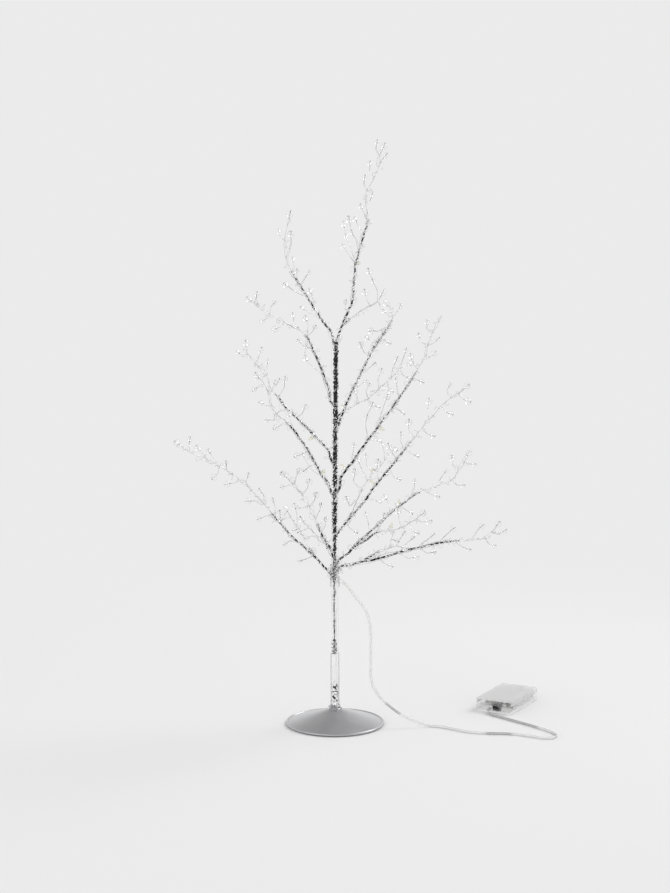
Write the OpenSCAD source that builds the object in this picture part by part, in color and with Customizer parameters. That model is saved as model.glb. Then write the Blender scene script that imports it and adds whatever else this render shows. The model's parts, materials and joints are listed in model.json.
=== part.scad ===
// Lighted wire twig tree on a round dished foot, with a battery box on a flat lead.
// Millimetres, +Z up. The origin is on the trunk's axis at the level of the floor.

/* [Tree] */
// Height of the tree, from the floor to the top bead
tree_h = 600; // [400:10:900]
// Diameter of the foil wrapped trunk
trunk_d = 8; // [6:0.1:10]
// Diameter of the steel rod inside the trunk
rod_d = 4.4; // [3:0.1:5]
// Number of strands that the trunk's wrap is twisted from
trunk_strands = 3; // [2:1:5]
// Length of trunk in which a strand goes round once
trunk_lay = 40; // [25:1:80]
// Depth of the grooves between the trunk's strands
groove_depth = 0.7; // [0.3:0.05:1]

/* [Branches] */
// Diameter of a branch where it leaves the trunk
branch_d = 2.8; // [2:0.1:3.4]
// Diameter of a branch at its tip
branch_tip_d = 1; // [0.7:0.1:1.4]
// Diameter of a side branch at its fork
fork_d = 2; // [1.4:0.1:2.6]
// Diameter of the round end that a branch bends about
root_d = 3.4; // [3:0.1:4.5]
// Thickness of a twig's wire
twig_d = 0.9; // [0.5:0.05:1.2]
// Diameter of a large bead
bead_d = 6.6; // [4:0.1:7]
// Diameter of a small bead
small_bead_d = 5; // [3:0.1:6]
// Diameter of a lamp's lens
lamp_d = 3; // [2:0.1:4]
// Height of a lamp's lens
lamp_h = 4.6; // [3.6:0.1:6]

/* [Foot] */
// Diameter of the foot
foot_d = 102; // [80:1:140]
// Height of the foot's dome
foot_h = 16; // [12:0.5:24]
// Thickness of the foot's sheet metal
sheet_t = 0.8; // [0.5:0.05:1]
// Diameter of the bead rolled round the foot's rim
rim_d = 2.6; // [2:0.1:4]
// Thickness of the foam pad under the foot
pad_t = 2; // [1.5:0.1:3]
// Diameter of the iron weight
weight_d = 76; // [50:1:78]
// Diameter of the hole in the middle of the weight
weight_hole_d = 24; // [16:1:40]

/* [Lower trunk] */
// Height of the sleeve's top above the floor
sleeve_top = 75; // [50:1:120]
// Diameter of the bare post inside the sleeve
post_d = 7; // [6.4:0.1:8]
// Height of the foil cuff's top above the floor
cuff_top = 43; // [30:1:48]
// Wall of the clear sleeve
sleeve_t = 0.6; // [0.4:0.1:1.2]
// Diameter of the collar on the foot
collar_d = 12.5; // [11:0.1:18]
// Height of the collar on the foot
collar_h = 4; // [2:0.1:8]

/* [Battery box] */
// Length of the battery box
box_l = 70; // [62:0.5:86]
// Width of the battery box
box_w = 42; // [40:0.5:60]
// Height of the battery box
box_h = 14; // [14:0.5:22]
// Wall of the battery box
box_wall = 1.4; // [1:0.1:1.6]
// Height of the part that the lid covers
lid_skirt = 5; // [4:0.1:6]
// Length of the switch's chamber, in front of the cells
chamber_l = 12; // [9:0.5:16]
// Room between neighbouring cells
cell_gap = 1.2; // [1:0.1:2]
// Wire of a battery spring
spring_wire_d = 0.6; // [0.4:0.05:0.7]
// Turns of a battery spring
spring_turns = 4; // [3:1:5]
// Width of the slide switch
switch_w = 8.4; // [7:0.1:9]
// Travel of the slide switch's knob
switch_travel = 2.4; // [1:0.1:3]

/* [Hidden] */
BRANCH_NAMES = ["left_leader", "right_leader", "left_branch_5", "left_branch_4", "left_branch_3",
    "left_branch_2", "left_branch_1", "right_branch_6", "right_branch_5", "right_branch_4",
    "right_branch_3", "right_branch_2", "right_branch_1"];
LAMP_BRANCHES = ["right_leader", "left_branch_4", "left_branch_3", "right_branch_5",
    "right_branch_4", "right_branch_3", "right_branch_2"];

// Room between pieces that don't touch, room between a wire and its hole, and overrun of a cut
gap = 0.3;
bore_gap = 0.2;
over = 1;
// Facets of a thick wire, a twig and a lead
wire_sides = 6;
twig_sides = 4;
lead_sides = 8;
round_fn = 48;

// The branches' places are pixel coordinates of a picture of the tree, taken from eye_shares
// of its height in front of it and above the floor, with the camera tipped down by eye_tip.
eye_shares = [3.53, 1];
eye_tip = 8.3;
eye_focus_px = 2100;
picture_middle_px = [335, 446.5];
eye_out = tree_h * eye_shares[0];
eye_up = tree_h * eye_shares[1];

// Place of a picture point on an upright plane y = offset + x * slope
function sight(p) = let (a = (p[0] - picture_middle_px[0]) / eye_focus_px,
    b = (picture_middle_px[1] - p[1]) / eye_focus_px)
    [a, cos(eye_tip) + b * sin(eye_tip), b * cos(eye_tip) - sin(eye_tip)];
function place(p, slope, offset) = let (s = sight(p),
    t = (eye_out + offset) / (s[1] - s[0] * slope))
    [t * s[0], t * s[1] - eye_out, eye_up + t * s[2]];
function height_at(row) = place([picture_middle_px[0], row], 0, 0)[2];

trunk_r = trunk_d / 2;
rod_hole_r = rod_d / 2 + gap;
foot_r = foot_d / 2;
root_r = root_d / 2;

// A branch: name, side, row of its root in the picture, lean away from the picture's plane,
// strands, lamps. A strand: fork point on the first strand, lean, route, twigs.
// A twig: the strand's point that it leaves, then points with their depth and bead size.
// A lamp: strand, point that it leaves, place.
left_leader_px = ["left_leader", -1, 340, 28, [
    [0, 28, [[331, 331], [326, 325], [320, 317], [313, 306], [307, 296], [300, 285], [292, 272],
            [286, 257], [285, 240], [287, 226], [290, 214]],
        [[3, [310, 313, -5, 0], [302, 308, -9, 1]],
            [4, [313, 298, 5, 0], [310, 291, 8, 2]],
            [5, [296, 292, -4, 0], [286, 285, -8, 2]],
            [6, [305, 278, 5, 0], [309, 272, 9, 1]],
            [6, [297, 278, -7, 0], [297, 271, -9, 1]],
            [7, [294, 266, 5, 0], [293, 259, 8, 1]],
            [8, [291, 244, -5, 0], [291, 234, -8, 2]],
            [9, [281, 238, 5, 0], [279, 231, 9, 1]]]]],
    []];

right_leader_px = ["right_leader", 1, 340, -14, [
    [0, -14, [[343, 323], [349, 310], [353, 298], [354, 278], [356, 263], [360, 248], [364, 234],
            [368, 219], [366, 203], [368, 190], [374, 178], [378, 166], [380, 155], [384, 146]],
        [[2, [345, 309, -5, 0], [346, 302, -9, 1]],
            [5, [349, 255, -5, 0], [343, 246, -9, 1]],
            [5, [351, 248, 6, 0], [346, 236, 10, 1], [344, 224, 13, 2]],
            [6, [356, 239, -5, 0], [352, 232, -8, 1], [349, 219, -11, 2]],
            [7, [359, 227, 5, 0], [355, 219, 9, 1]],
            [8, [364, 213, -5, 0], [361, 206, -9, 1]],
            [9, [370, 201, 5, 0], [372, 195, 9, 1]],
            [10, [364, 184, -5, 0], [365, 177, -9, 1]],
            [11, [370, 171, 5, 0], [370, 163, 9, 1]],
            [12, [382, 160, -5, 0], [386, 155, -8, 1]],
            [13, [376, 149, -5, 0], [377, 142, -9, 1]]]],
    [1, 30, [[354, 316], [362, 310], [370, 306], [378, 301], [383, 292]],
        [[3, [367, 300, -5, 0], [365, 292, -9, 2]],
            [4, [377, 290, -6, 0], [373, 281, -10, 1], [369, 271, -12, 2]],
            [4, [381, 308, 6, 0], [384, 311, 9, 1]]]]],
    [[0, 5, [361, 258, 6]]]];

left_branch_5_px = ["left_branch_5", -1, 400, -38, [
    [0, -38, [[329, 391], [326, 381], [322, 370], [317, 359], [312, 347], [307, 336], [297, 329],
            [284, 322], [270, 314], [258, 307], [249, 299]],
        [[2, [320, 373, 7, 0], [312, 366, 10, 0], [306, 358, 13, 2], [306, 346, 15, 1]],
            [5, [304, 346, -6, 0], [299, 341, -10, 1]],
            [6, [308, 326, 6, 0], [306, 318, 9, 2]],
            [6, [312, 332, -5, 0], [315, 327, -9, 1]],
            [7, [294, 322, 6, 0], [293, 315, 9, 1]],
            [8, [280, 327, -6, 0], [275, 329, -9, 2]],
            [9, [271, 307, 6, 0], [275, 302, 9, 1]],
            [9, [266, 319, -6, 0], [262, 321, -9, 1]],
            [10, [256, 300, -6, 0], [257, 294, -9, 1]]]]],
    []];

left_branch_4_px = ["left_branch_4", -1, 459, 45, [
    [0, 45, [[328, 450], [322, 443], [315, 436], [308, 429], [297, 418], [286, 408], [278, 397],
            [270, 387], [266, 375], [256, 364], [248, 355], [246, 343]],
        [[5, [302, 414, -5, 0], [305, 407, -9, 2]],
            [6, [280, 411, 6, 0], [276, 414, 9, 1]],
            [7, [284, 388, -6, 0], [285, 379, -9, 2]],
            [8, [276, 385, 6, 0], [279, 380, 10, 1]],
            [9, [262, 379, -6, 0], [257, 378, -9, 1]],
            [9, [267, 367, 6, 0], [268, 361, 9, 1]],
            [10, [259, 356, -6, 0], [261, 350, -9, 2]],
            [11, [242, 356, 6, 0], [238, 352, 9, 1]]]]],
    [[0, 3, [312, 441, -5]]]];

left_branch_3_px = ["left_branch_3", -1, 491, -44, [
    [0, -44, [[328, 483], [322, 475], [316, 464], [308, 450], [301, 440], [294, 430], [286, 422],
            [277, 414], [271, 405], [269, 394], [264, 384], [257, 375]],
        [[2, [316, 473, 7, 0], [309, 466, 11, 0], [303, 455, 13, 1]],
            [3, [310, 466, -6, 0], [305, 470, -9, 1]],
            [4, [303, 454, -6, 0], [297, 456, -9, 2]],
            [6, [291, 422, 6, 0], [289, 414, 9, 2]],
            [7, [281, 425, -6, 0], [276, 428, -9, 2]],
            [8, [274, 420, 6, 0], [267, 420, 9, 1]],
            [9, [266, 405, -6, 0], [261, 403, -9, 1]],
            [10, [273, 388, 6, 0], [275, 382, 9, 1]],
            [11, [258, 387, -6, 0], [254, 390, -9, 1]]]]],
    [[0, 2, [324, 468, 6]]]];

left_branch_2_px = ["left_branch_2", -1, 553, -62, [
    [0, -62, [[330, 548], [326, 542], [321, 533], [315, 519], [309, 506], [302, 495], [293, 484],
            [283, 474]],
        [[3, [325, 526, 6, 0], [326, 519, 9, 1]],
            [4, [319, 512, 6, 0], [321, 505, 9, 1]],
            [5, [314, 501, -6, 0], [316, 495, -9, 2]],
            [5, [303, 508, 6, 0], [298, 508, 9, 1]],
            [6, [307, 489, 6, 0], [309, 482, 9, 2]],
            [7, [296, 477, -6, 0], [299, 471, -9, 2]],
            [7, [287, 486, 6, 0], [282, 487, 9, 1]]]],
    [1, -20, [[324, 543], [317, 536], [309, 528], [302, 519]],
        [[2, [312, 536, -6, 0], [307, 538, -9, 1]],
            [3, [304, 530, 6, 0], [299, 532, 9, 1]]]]],
    []];

left_branch_1_px = ["left_branch_1", -1, 572, -22, [
    [0, -22, [[320, 562], [313, 555], [305, 548], [297, 541], [286, 530], [274, 516], [264, 504],
            [251, 490], [241, 480], [232, 474], [219, 466], [206, 460], [190, 452], [177, 443]],
        [[2, [306, 559, -6, 0], [300, 561, -9, 1]],
            [4, [290, 541, 6, 0], [285, 544, 9, 1]],
            [5, [281, 522, -6, 0], [280, 513, -9, 2]],
            [6, [266, 516, 6, 0], [259, 519, 9, 1]],
            [6, [275, 507, -6, 0], [273, 500, -9, 1]],
            [7, [255, 501, 6, 0], [248, 501, 9, 2]],
            [7, [264, 496, -6, 0], [260, 490, -10, 1]],
            [8, [246, 483, -6, 0], [248, 475, -9, 1]],
            [9, [234, 483, 6, 0], [227, 484, 9, 2]],
            [10, [227, 470, -6, 0], [226, 463, -9, 1]],
            [11, [213, 458, 5, 0], [209, 451, 9, 1]],
            [11, [218, 473, -6, 0], [214, 477, -9, 2]],
            [12, [203, 454, -6, 0], [198, 448, -9, 2]],
            [13, [189, 445, 6, 0], [190, 439, 9, 1]]]],
    [2, 62, [[307, 545], [302, 535], [296, 525], [291, 517], [286, 509]],
        [[2, [299, 529, -6, 0], [294, 530, -9, 1]],
            [3, [297, 515, 6, 0], [295, 506, 9, 2]],
            [4, [284, 519, -6, 0], [280, 521, -10, 1]]]]],
    []];

right_branch_6_px = ["right_branch_6", 1, 425, -54, [
    [0, -54, [[343, 412], [349, 398], [355, 385], [362, 371], [370, 355], [379, 340], [388, 328],
            [393, 316], [391, 309], [386, 303]],
        [[3, [361, 384, 6, 0], [366, 381, 9, 1]],
            [4, [369, 368, -6, 0], [374, 364, -9, 1]],
            [5, [364, 352, -6, 0], [361, 345, -9, 2]],
            [6, [373, 343, 6, 0], [367, 338, 9, 1]],
            [6, [385, 340, -6, 0], [389, 343, -9, 1]],
            [7, [379, 331, 6, 0], [371, 331, 10, 2]],
            [8, [397, 312, 6, 0], [400, 306, 9, 1]]]]],
    []];

right_branch_5_px = ["right_branch_5", 1, 416, 50, [
    [0, 50, [[347, 410], [357, 404], [368, 399], [379, 389], [391, 378], [400, 369], [411, 363]],
        [[2, [357, 396, -6, 0], [354, 391, -9, 1]],
            [3, [372, 405, 6, 0], [378, 407, 9, 1]],
            [3, [366, 391, -6, 0], [369, 385, -9, 1]],
            [4, [378, 380, -7, 0], [381, 371, -11, 2]],
            [4, [386, 389, 6, 0], [391, 391, 9, 2]],
            [5, [393, 368, -6, 0], [397, 359, -9, 2]],
            [6, [404, 376, 6, 0], [409, 378, 9, 1]],
            [6, [403, 359, 6, 0], [406, 350, 9, 1]]]]],
    [[0, 1, [343, 401, 6]]]];

right_branch_4_px = ["right_branch_4", 1, 488, 34, [
    [0, 34, [[341, 478], [347, 469], [353, 461], [361, 449], [369, 439], [378, 427], [386, 416],
            [393, 407], [400, 397], [406, 388], [412, 379], [418, 369], [424, 358], [428, 345],
            [433, 332], [440, 319]],
        [[3, [353, 453, 6, 0], [354, 445, 9, 1]],
            [5, [366, 428, -6, 0], [367, 417, -9, 1], [372, 405, -12, 2]],
            [5, [374, 440, 6, 0], [379, 441, 9, 1]],
            [6, [380, 417, 6, 0], [383, 408, 9, 0], [387, 397, 11, 2]],
            [8, [399, 410, -6, 0], [403, 413, -9, 1]],
            [9, [397, 387, 6, 0], [396, 380, 9, 1]],
            [11, [418, 380, -6, 0], [422, 382, -9, 1]],
            [12, [413, 363, 6, 0], [411, 356, 9, 2]],
            [13, [430, 357, -6, 0], [434, 353, -9, 2]],
            [14, [421, 342, 6, 0], [419, 335, 9, 1]],
            [14, [434, 343, -6, 0], [438, 339, -9, 1]],
            [15, [427, 329, 6, 0], [427, 322, 9, 1]]]]],
    [[0, 6, [383, 432, -5]], [0, 2, [351, 452, 6]]]];

right_branch_3_px = ["right_branch_3", 1, 530, -36, [
    [0, -36, [[346, 523], [352, 516], [360, 507], [367, 498], [373, 489], [380, 480], [388, 470],
            [398, 459], [405, 449], [414, 438], [422, 428], [432, 417], [441, 406], [450, 399],
            [459, 393], [467, 386]],
        [[1, [351, 529, -6, 0], [356, 532, -9, 1]],
            [4, [374, 500, 6, 0], [379, 502, 9, 1]],
            [6, [377, 471, -6, 0], [378, 462, -9, 2]],
            [7, [394, 477, 6, 0], [399, 479, 9, 1]],
            [8, [392, 453, -6, 0], [389, 446, -9, 2]],
            [9, [412, 454, 6, 0], [417, 456, 9, 1]],
            [9, [401, 442, -6, 0], [401, 434, -9, 1]],
            [10, [409, 430, 6, 0], [409, 422, 9, 2]],
            [11, [428, 434, -6, 0], [433, 436, -9, 1]],
            [12, [428, 409, 6, 0], [429, 401, 9, 2]],
            [13, [446, 412, -6, 0], [451, 414, -9, 1]],
            [14, [447, 391, 6, 0], [450, 385, 9, 1]],
            [15, [463, 399, -6, 0], [468, 401, -9, 2]]]],
    [1, 60, [[352, 512], [357, 501], [362, 490], [368, 480], [375, 470], [385, 460], [395, 450]],
        [[2, [350, 506, -6, 0], [347, 499, -9, 2]],
            [3, [354, 482, -6, 0], [355, 472, -10, 2]],
            [4, [362, 470, 6, 0], [358, 460, 9, 2]],
            [5, [367, 466, -6, 0], [366, 456, -9, 1]],
            [5, [381, 472, 6, 0], [386, 474, 9, 1]],
            [6, [384, 451, 6, 0], [382, 444, 9, 1]]]]],
    [[1, 4, [374, 487, -6]], [1, 5, [374, 466, 10]]]];

right_branch_2_px = ["right_branch_2", 1, 560, 42, [
    [0, 42, [[347, 554], [353, 548], [360, 541], [371, 531], [382, 521], [391, 513], [400, 506],
            [412, 497], [424, 490], [440, 485], [452, 480], [458, 471], [463, 462], [469, 453]],
        [[4, [368, 522, 6, 0], [366, 514, 9, 1]],
            [6, [389, 504, 6, 0], [385, 497, 9, 2]],
            [7, [406, 510, -6, 0], [411, 513, -9, 1]],
            [8, [414, 488, 6, 0], [415, 481, 9, 1]],
            [9, [430, 494, -6, 0], [437, 496, -9, 2]],
            [10, [441, 478, 6, 0], [446, 471, 9, 1]],
            [11, [457, 485, -6, 0], [463, 485, -9, 1]],
            [12, [453, 465, 6, 0], [452, 458, 9, 2]],
            [13, [469, 464, -6, 0], [474, 464, -9, 1]]]],
    [2, -60, [[363, 542], [376, 533], [390, 530], [401, 528], [409, 523], [416, 519], [423, 513]],
        [[2, [381, 524, 6, 0], [384, 515, 9, 1]],
            [3, [392, 539, -6, 0], [397, 541, -9, 1]],
            [4, [399, 519, 6, 0], [398, 511, 9, 2]],
            [5, [412, 531, -6, 0], [417, 533, -9, 1]],
            [6, [422, 522, -6, 0], [429, 521, -10, 2]]]]],
    [[0, 7, [397, 498, -5]], [1, 3, [391, 522, 6]]]];

right_branch_1_px = ["right_branch_1", 1, 567, 16, [
    [0, 16, [[350, 565], [362, 562], [380, 558], [400, 552], [420, 547], [440, 543], [456, 541],
            [473, 540], [485, 538], [492, 532], [498, 524]],
        [[3, [385, 564, -6, 0], [391, 566, -9, 1]],
            [4, [408, 558, 6, 0], [416, 557, 9, 2]],
            [4, [407, 543, -6, 0], [413, 538, -9, 1]],
            [5, [427, 540, 6, 0], [433, 535, 9, 1]],
            [5, [427, 553, -6, 0], [434, 552, -9, 1]],
            [6, [446, 535, 6, 0], [453, 529, 9, 2]],
            [7, [463, 547, -6, 0], [469, 549, -9, 1]],
            [8, [477, 531, 6, 0], [482, 526, 9, 2]],
            [9, [489, 544, -6, 0], [494, 545, -9, 1]],
            [10, [499, 534, -6, 0], [504, 531, -9, 2]]]],
    [2, -52, [[371, 556], [380, 551], [389, 548], [397, 546], [405, 548]],
        [[3, [391, 540, 6, 0], [393, 533, 9, 1]],
            [4, [400, 539, -6, 0], [404, 533, -9, 1]]]]],
    []];

BRANCHES = [left_leader_px, right_leader_px, left_branch_5_px, left_branch_4_px, left_branch_3_px,
    left_branch_2_px, left_branch_1_px, right_branch_6_px, right_branch_5_px, right_branch_4_px,
    right_branch_3_px, right_branch_2_px, right_branch_1_px];

// Route of the lead, laid by hand: out of the trunk, down, over the foot, along the floor and
// round to the battery box
lead_d = 2.6;
lead_route = [[8, -1, 150], [12, -2, 147], [17, -3, 141], [22, -4, 134], [28, -5, 127],
    [33, -6, 118], [36, -7, 107], [37, -8, 94], [37, -9, 80], [37, -10, 66], [37, -10, 54],
    [39, -11, 44], [44, -12, 35], [51, -13, 27], [58, -14, 21], [66, -14, 15], [75, -14, 10],
    [86, -14, 5], [98, -14, 2], [110, -17, 1.4], [122, -25, 1.4], [134, -34, 1.4], [147, -39, 1.4],
    [160, -41, 1.4], [174, -42, 1.4], [187, -45, 1.4], [199, -51, 1.4], [209, -57, 1.4],
    [217, -59, 1.4], [223, -55, 1.4], [225, -48, 1.4], [223, -40, 1.4], [218, -31, 1.4],
    [211, -22, 1.4], [202, -11, 1.4], [192, 0, 1.4], [182, 11, 1.4], [172, 22, 1.4],
    [166, 28, 1.8], [162.3, 33, 2.4], [161.2, 37.5, 3], [162, 42, 3.4], [164.5, 46.5, 3.4]];

// Place of the middle of the battery box's front wall on the floor, and the box's turn
box_place = [168, 42];
box_turn = 62;

function unit(v) = v / norm(v);
function across(v, axis) = v - axis * (v * axis);

// Rings along a path: the sections stay turned alike from ring to ring
function tangents(path) = [for (i = [0:len(path) - 1])
    unit(path[min(i + 1, len(path) - 1)] - path[max(i - 1, 0)])];
function first_side(t) = unit(across(abs(t[2]) < 0.9 ? [0, 0, 1] : [1, 0, 0], t));
function sides_along(t) = [for (i = 0, s = first_side(t[0]); i < len(t);
    i = i + 1, s = i < len(t) ? unit(across(s, t[i])) : s) s];

// Closed tube through a path, with one radius at each of its points
module tube(path, radii, sides) {
    t = tangents(path);
    s = sides_along(t);
    last = len(path) - 1;
    points = [for (i = [0:last]) for (j = [0:sides - 1])
        path[i] + radii[i] * (cos(360 * j / sides) * s[i] + sin(360 * j / sides) * cross(t[i], s[i]))];
    walls = [for (i = [0:last - 1]) for (j = [0:sides - 1])
        let (a = i * sides + j, b = i * sides + (j + 1) % sides)
        each [[a, a + sides, b + sides], [a, b + sides, b]]];
    caps = [for (j = [1:sides - 2])
        each [[0, j, j + 1], [last * sides, last * sides + j + 1, last * sides + j]]];
    polyhedron(points, concat(walls, caps));
}

// Turns the Z axis to a direction
module along(d) {
    rotate([0, acos(d[2]), atan2(d[1], d[0])]) children();
}

// Branches
function slope_of(b, lean) = b[1] * tan(lean);
function outward(b) = [b[1] * cos(b[3]), sin(b[3]), 0];
function is_leader(b) = b == left_leader_px || b == right_leader_px;
leader_row = left_leader_px[2];
leader_out = root_r + gap;
trunk_top = height_at(leader_row) - root_r - gap;
function root_of(b) = outward(b) * (is_leader(b) ? leader_out : trunk_r + gap + root_r)
    + [0, 0, height_at(b[2])];

// A wire that leaves another starts beside it, just clear of it
function leave(route, i, radius, own, towards) = let (t = tangents(route)[i],
    away = unit(across(towards - route[i], t)), way = unit(towards - route[i]))
    route[i] + away * (radius + gap + own * abs(way * t));

// The first strand runs from the root, and the others fork off it
function main_route(b) = concat([root_of(b)],
    [for (p = b[4][0][2]) place(p, slope_of(b, b[4][0][1]), 0)]);
function main_radius(b, i) = let (n = len(b[4][0][2]))
    (branch_d + (branch_tip_d - branch_d) * i / n) / 2;
function fork_radius(s, i) = (fork_d + (branch_tip_d - fork_d) * i / len(s[2])) / 2;
function fork_route(b, s) = let (route = main_route(b), from = route[s[0]],
    slope = slope_of(b, s[1]), offset = from[1] - from[0] * slope,
    points = [for (p = s[2]) place(p, slope, offset)])
    concat([leave(route, s[0], main_radius(b, s[0]), fork_d / 2, points[0])], points);
function strand_route(b, k) = k == 0 ? main_route(b) : fork_route(b, b[4][k]);
function strand_radius(b, k, i) = k == 0 ? main_radius(b, i) : fork_radius(b[4][k], i);

// A twig stays at the depth of the point that it leaves, give or take each point's own depth
function twig_points(route, w) = [for (i = [1:len(w) - 1])
    place(w[i], 0, route[w[0]][1] + w[i][2] * tree_h / tree_px)];
tree_px = 600;
function twig_route(b, k, w) = let (route = strand_route(b, k), points = twig_points(route, w))
    concat([leave(route, w[0], strand_radius(b, k, w[0]), twig_d / 2, points[0])], points);
function bead_r(size) = (size == 2 ? bead_d : small_bead_d) / 2;
wire_end = 0.8;

// Direction of a route's wire through its point i
function way_at(route, i) = i == len(route) - 1 ? unit(route[i] - route[i - 1])
    : unit(unit(route[i] - route[i - 1]) + unit(route[i + 1] - route[i]));

// A route with a straight stretch through each of its beads; sizes gives each point's bead
function threaded(route, sizes) = [for (i = [0:len(route) - 1])
    let (d = i == 0 ? [0, 0, 1] : way_at(route, i), r = bead_r(sizes[i]) + wire_end)
    each sizes[i] == 0 ? [route[i]] : [route[i] - d * r, route[i] + d * r]];
function twig_sizes(w) = concat([0], [for (i = [1:len(w) - 1]) w[i][3]]);
function tip_sizes(n) = [for (i = [0:n - 1]) i == n - 1 ? 2 : 0];

module strand(b, k) {
    route = strand_route(b, k);
    path = threaded(route, tip_sizes(len(route)));
    last = len(route) - 1;
    tube(path, [for (i = [0:len(path) - 1]) strand_radius(b, k, min(i, last))], wire_sides);
}

// The ball at a branch's root has its poles beside the wire
module root_ball(b) {
    route = main_route(b);
    translate(route[0]) along(unit(route[1] - route[0])) rotate([0, 90, 0]) sphere(root_r, $fn = round_fn);
}

module branch_wires(b) {
    color("silver") {
        strand(b, 0);
        root_ball(b);
        for (k = [1:1:len(b[4]) - 1]) strand(b, k);
    }
    color("gainsboro")
        for (k = [0:len(b[4]) - 1])
            for (w = b[4][k][3]) {
                path = threaded(twig_route(b, k, w), twig_sizes(w));
                tube(path, [for (p = path) twig_d / 2], twig_sides);
            }
}

// A clear bead, bored for the wire that runs through it
module bead(size, wire_d) {
    r = bead_r(size);
    difference() {
        sphere(r, $fn = round_fn);
        translate([0, 0, -r - over]) cylinder(2 * (r + over), r = wire_d / 2 + bore_gap, $fn = round_fn);
    }
}

module beads_on(route, sizes, wire_d) {
    for (i = [1:len(route) - 1])
        if (sizes[i] > 0) translate(route[i]) along(way_at(route, i)) bead(sizes[i], wire_d);
}

module branch_beads(b) {
    color([0.9, 0.93, 0.95, 0.5])
        for (k = [0:len(b[4]) - 1]) {
            route = strand_route(b, k);
            beads_on(route, tip_sizes(len(route)), branch_tip_d);
            for (w = b[4][k][3]) beads_on(twig_route(b, k, w), twig_sizes(w), twig_d);
        }
}

// A lamp: a domed lens on a short stub of its own lead
lamp_rim = 0.5;
lamp_foot_h = 0.8;
stub_l = 2;
module lamp() {
    r = lamp_d / 2;
    rotate_extrude($fn = round_fn) {
        square([twig_d, stub_l]);
        translate([0, stub_l]) square([r + lamp_rim, lamp_foot_h]);
        translate([0, stub_l + lamp_foot_h]) square([r, lamp_h - lamp_foot_h - r]);
        translate([0, stub_l + lamp_h - r]) intersection() {
            circle(r, $fn = round_fn);
            square(r);
        }
    }
}

module branch_lamps(b) {
    color([1, 0.93, 0.75])
        for (l = b[5]) {
            route = strand_route(b, l[0]);
            aim = place(l[2], 0, route[l[1]][1] + l[2][2] * tree_h / tree_px);
            start = leave(route, l[1], strand_radius(b, l[0], l[1]), 0, aim);
            translate(start) along(unit(start - route[l[1]])) lamp();
        }
}

// Foot
rim_r = rim_d / 2;
pad_gap = 0.5;
collar_r = collar_d / 2;
seat_r = collar_r + gap;
dome_fullness = 1.05;
dome_steps = 20;
rim_z = pad_gap + rim_r;
dome_out = foot_r - rim_r / 2;
function dome_z(u, h) = h * (1 - pow(u, dome_fullness));
function dome_line(out, low, top) = [for (i = [0:dome_steps])
    let (u = sin(90 * i / dome_steps)) [seat_r + (out - seat_r) * u, low + dome_z(u, top - low)]];

// Height of the sheet's underside
function under_dome(r) = rim_z + dome_z((r - seat_r) / (dome_out - sheet_t - seat_r),
    foot_h - sheet_t - rim_z);

// Spun sheet with a flat middle and a bead rolled round its rim
module foot_dome() {
    outer = dome_line(dome_out, rim_z, foot_h);
    inner = dome_line(dome_out - sheet_t, rim_z, foot_h - sheet_t);
    color("silver") {
        rotate_extrude($fn = round_fn)
            polygon(concat([[rod_hole_r, foot_h]], outer, [for (i = [dome_steps:-1:0]) inner[i]],
                [[rod_hole_r, foot_h - sheet_t]]));
        rotate_extrude($fn = round_fn) translate([foot_r - rim_r, rim_z]) circle(rim_r, $fn = round_fn);
    }
}

module ring(outer_r, inner_r, low, high) {
    translate([0, 0, low]) difference() {
        cylinder(high - low, r = outer_r, $fn = round_fn);
        translate([0, 0, -over]) cylinder(high - low + 2 * over, r = inner_r, $fn = round_fn);
    }
}

module foot_pad() {
    color("dimgray") cylinder(pad_t, r = foot_r - 2 * rim_d, $fn = round_fn);
}

// The weight fills the cone under the sheet
weight_gap = 0.4;
module foot_weight() {
    inner = weight_hole_d / 2;
    outer = weight_d / 2;
    color("slategray") rotate_extrude($fn = round_fn)
        polygon([[inner, pad_t], [outer, pad_t], [outer, under_dome(outer) - weight_gap],
            [inner, under_dome(inner) - weight_gap]]);
}

// The collar's neck carries the sleeve and the post
sleeve_room = 0.5;
sleeve_in = post_d / 2 + sleeve_room;
collar_neck_r = sleeve_in + sleeve_t + gap;
collar_flange = 1.4;
collar_edge = 0.4;
collar_top = foot_h + collar_h;
module foot_collar() {
    color("silver") rotate_extrude($fn = round_fn)
        polygon([[rod_hole_r, foot_h], [collar_r, foot_h], [collar_r, foot_h + collar_flange - collar_edge],
            [collar_r - collar_edge, foot_h + collar_flange], [collar_neck_r, foot_h + collar_flange],
            [collar_neck_r, collar_top - collar_edge], [collar_neck_r - collar_edge, collar_top],
            [rod_hole_r, collar_top]]);
}

washer_d = 11;
washer_t = 1;
nut_w = 8;
nut_h = 3.4;
thread_end = 1;
washer_top = foot_h - sheet_t;
nut_top = washer_top - washer_t;
rod_low = nut_top - nut_h - thread_end;
module foot_washer() {
    color("lightgray") ring(washer_d / 2, rod_hole_r, washer_top - washer_t, washer_top);
}

// The rod's thread and the nut's thread meet at the rod's own diameter, with room for both
thread_gap = 0.05;
module foot_nut() {
    color("lightgray") translate([0, 0, nut_top - nut_h]) difference() {
        cylinder(nut_h, r = nut_w / 2 / cos(30), $fn = 6);
        translate([0, 0, -over]) cylinder(nut_h + 2 * over, r = rod_d / 2 + thread_gap, $fn = round_fn);
    }
}

// Trunk
rod_top = trunk_top - gap;
module trunk_rod() {
    color("gray") translate([0, 0, rod_low]) cylinder(rod_top - rod_low, d = rod_d, $fn = round_fn);
}

module trunk_post() {
    color("white") ring(post_d / 2, rod_hole_r, collar_top, sleeve_top - gap);
}

// Foil gathered round the foot of the post, inside the sleeve
cuff_gap = 0.1;
module foil_cuff() {
    color("silver") ring(sleeve_in - cuff_gap, post_d / 2 + cuff_gap, collar_top, cuff_top);
}

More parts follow.
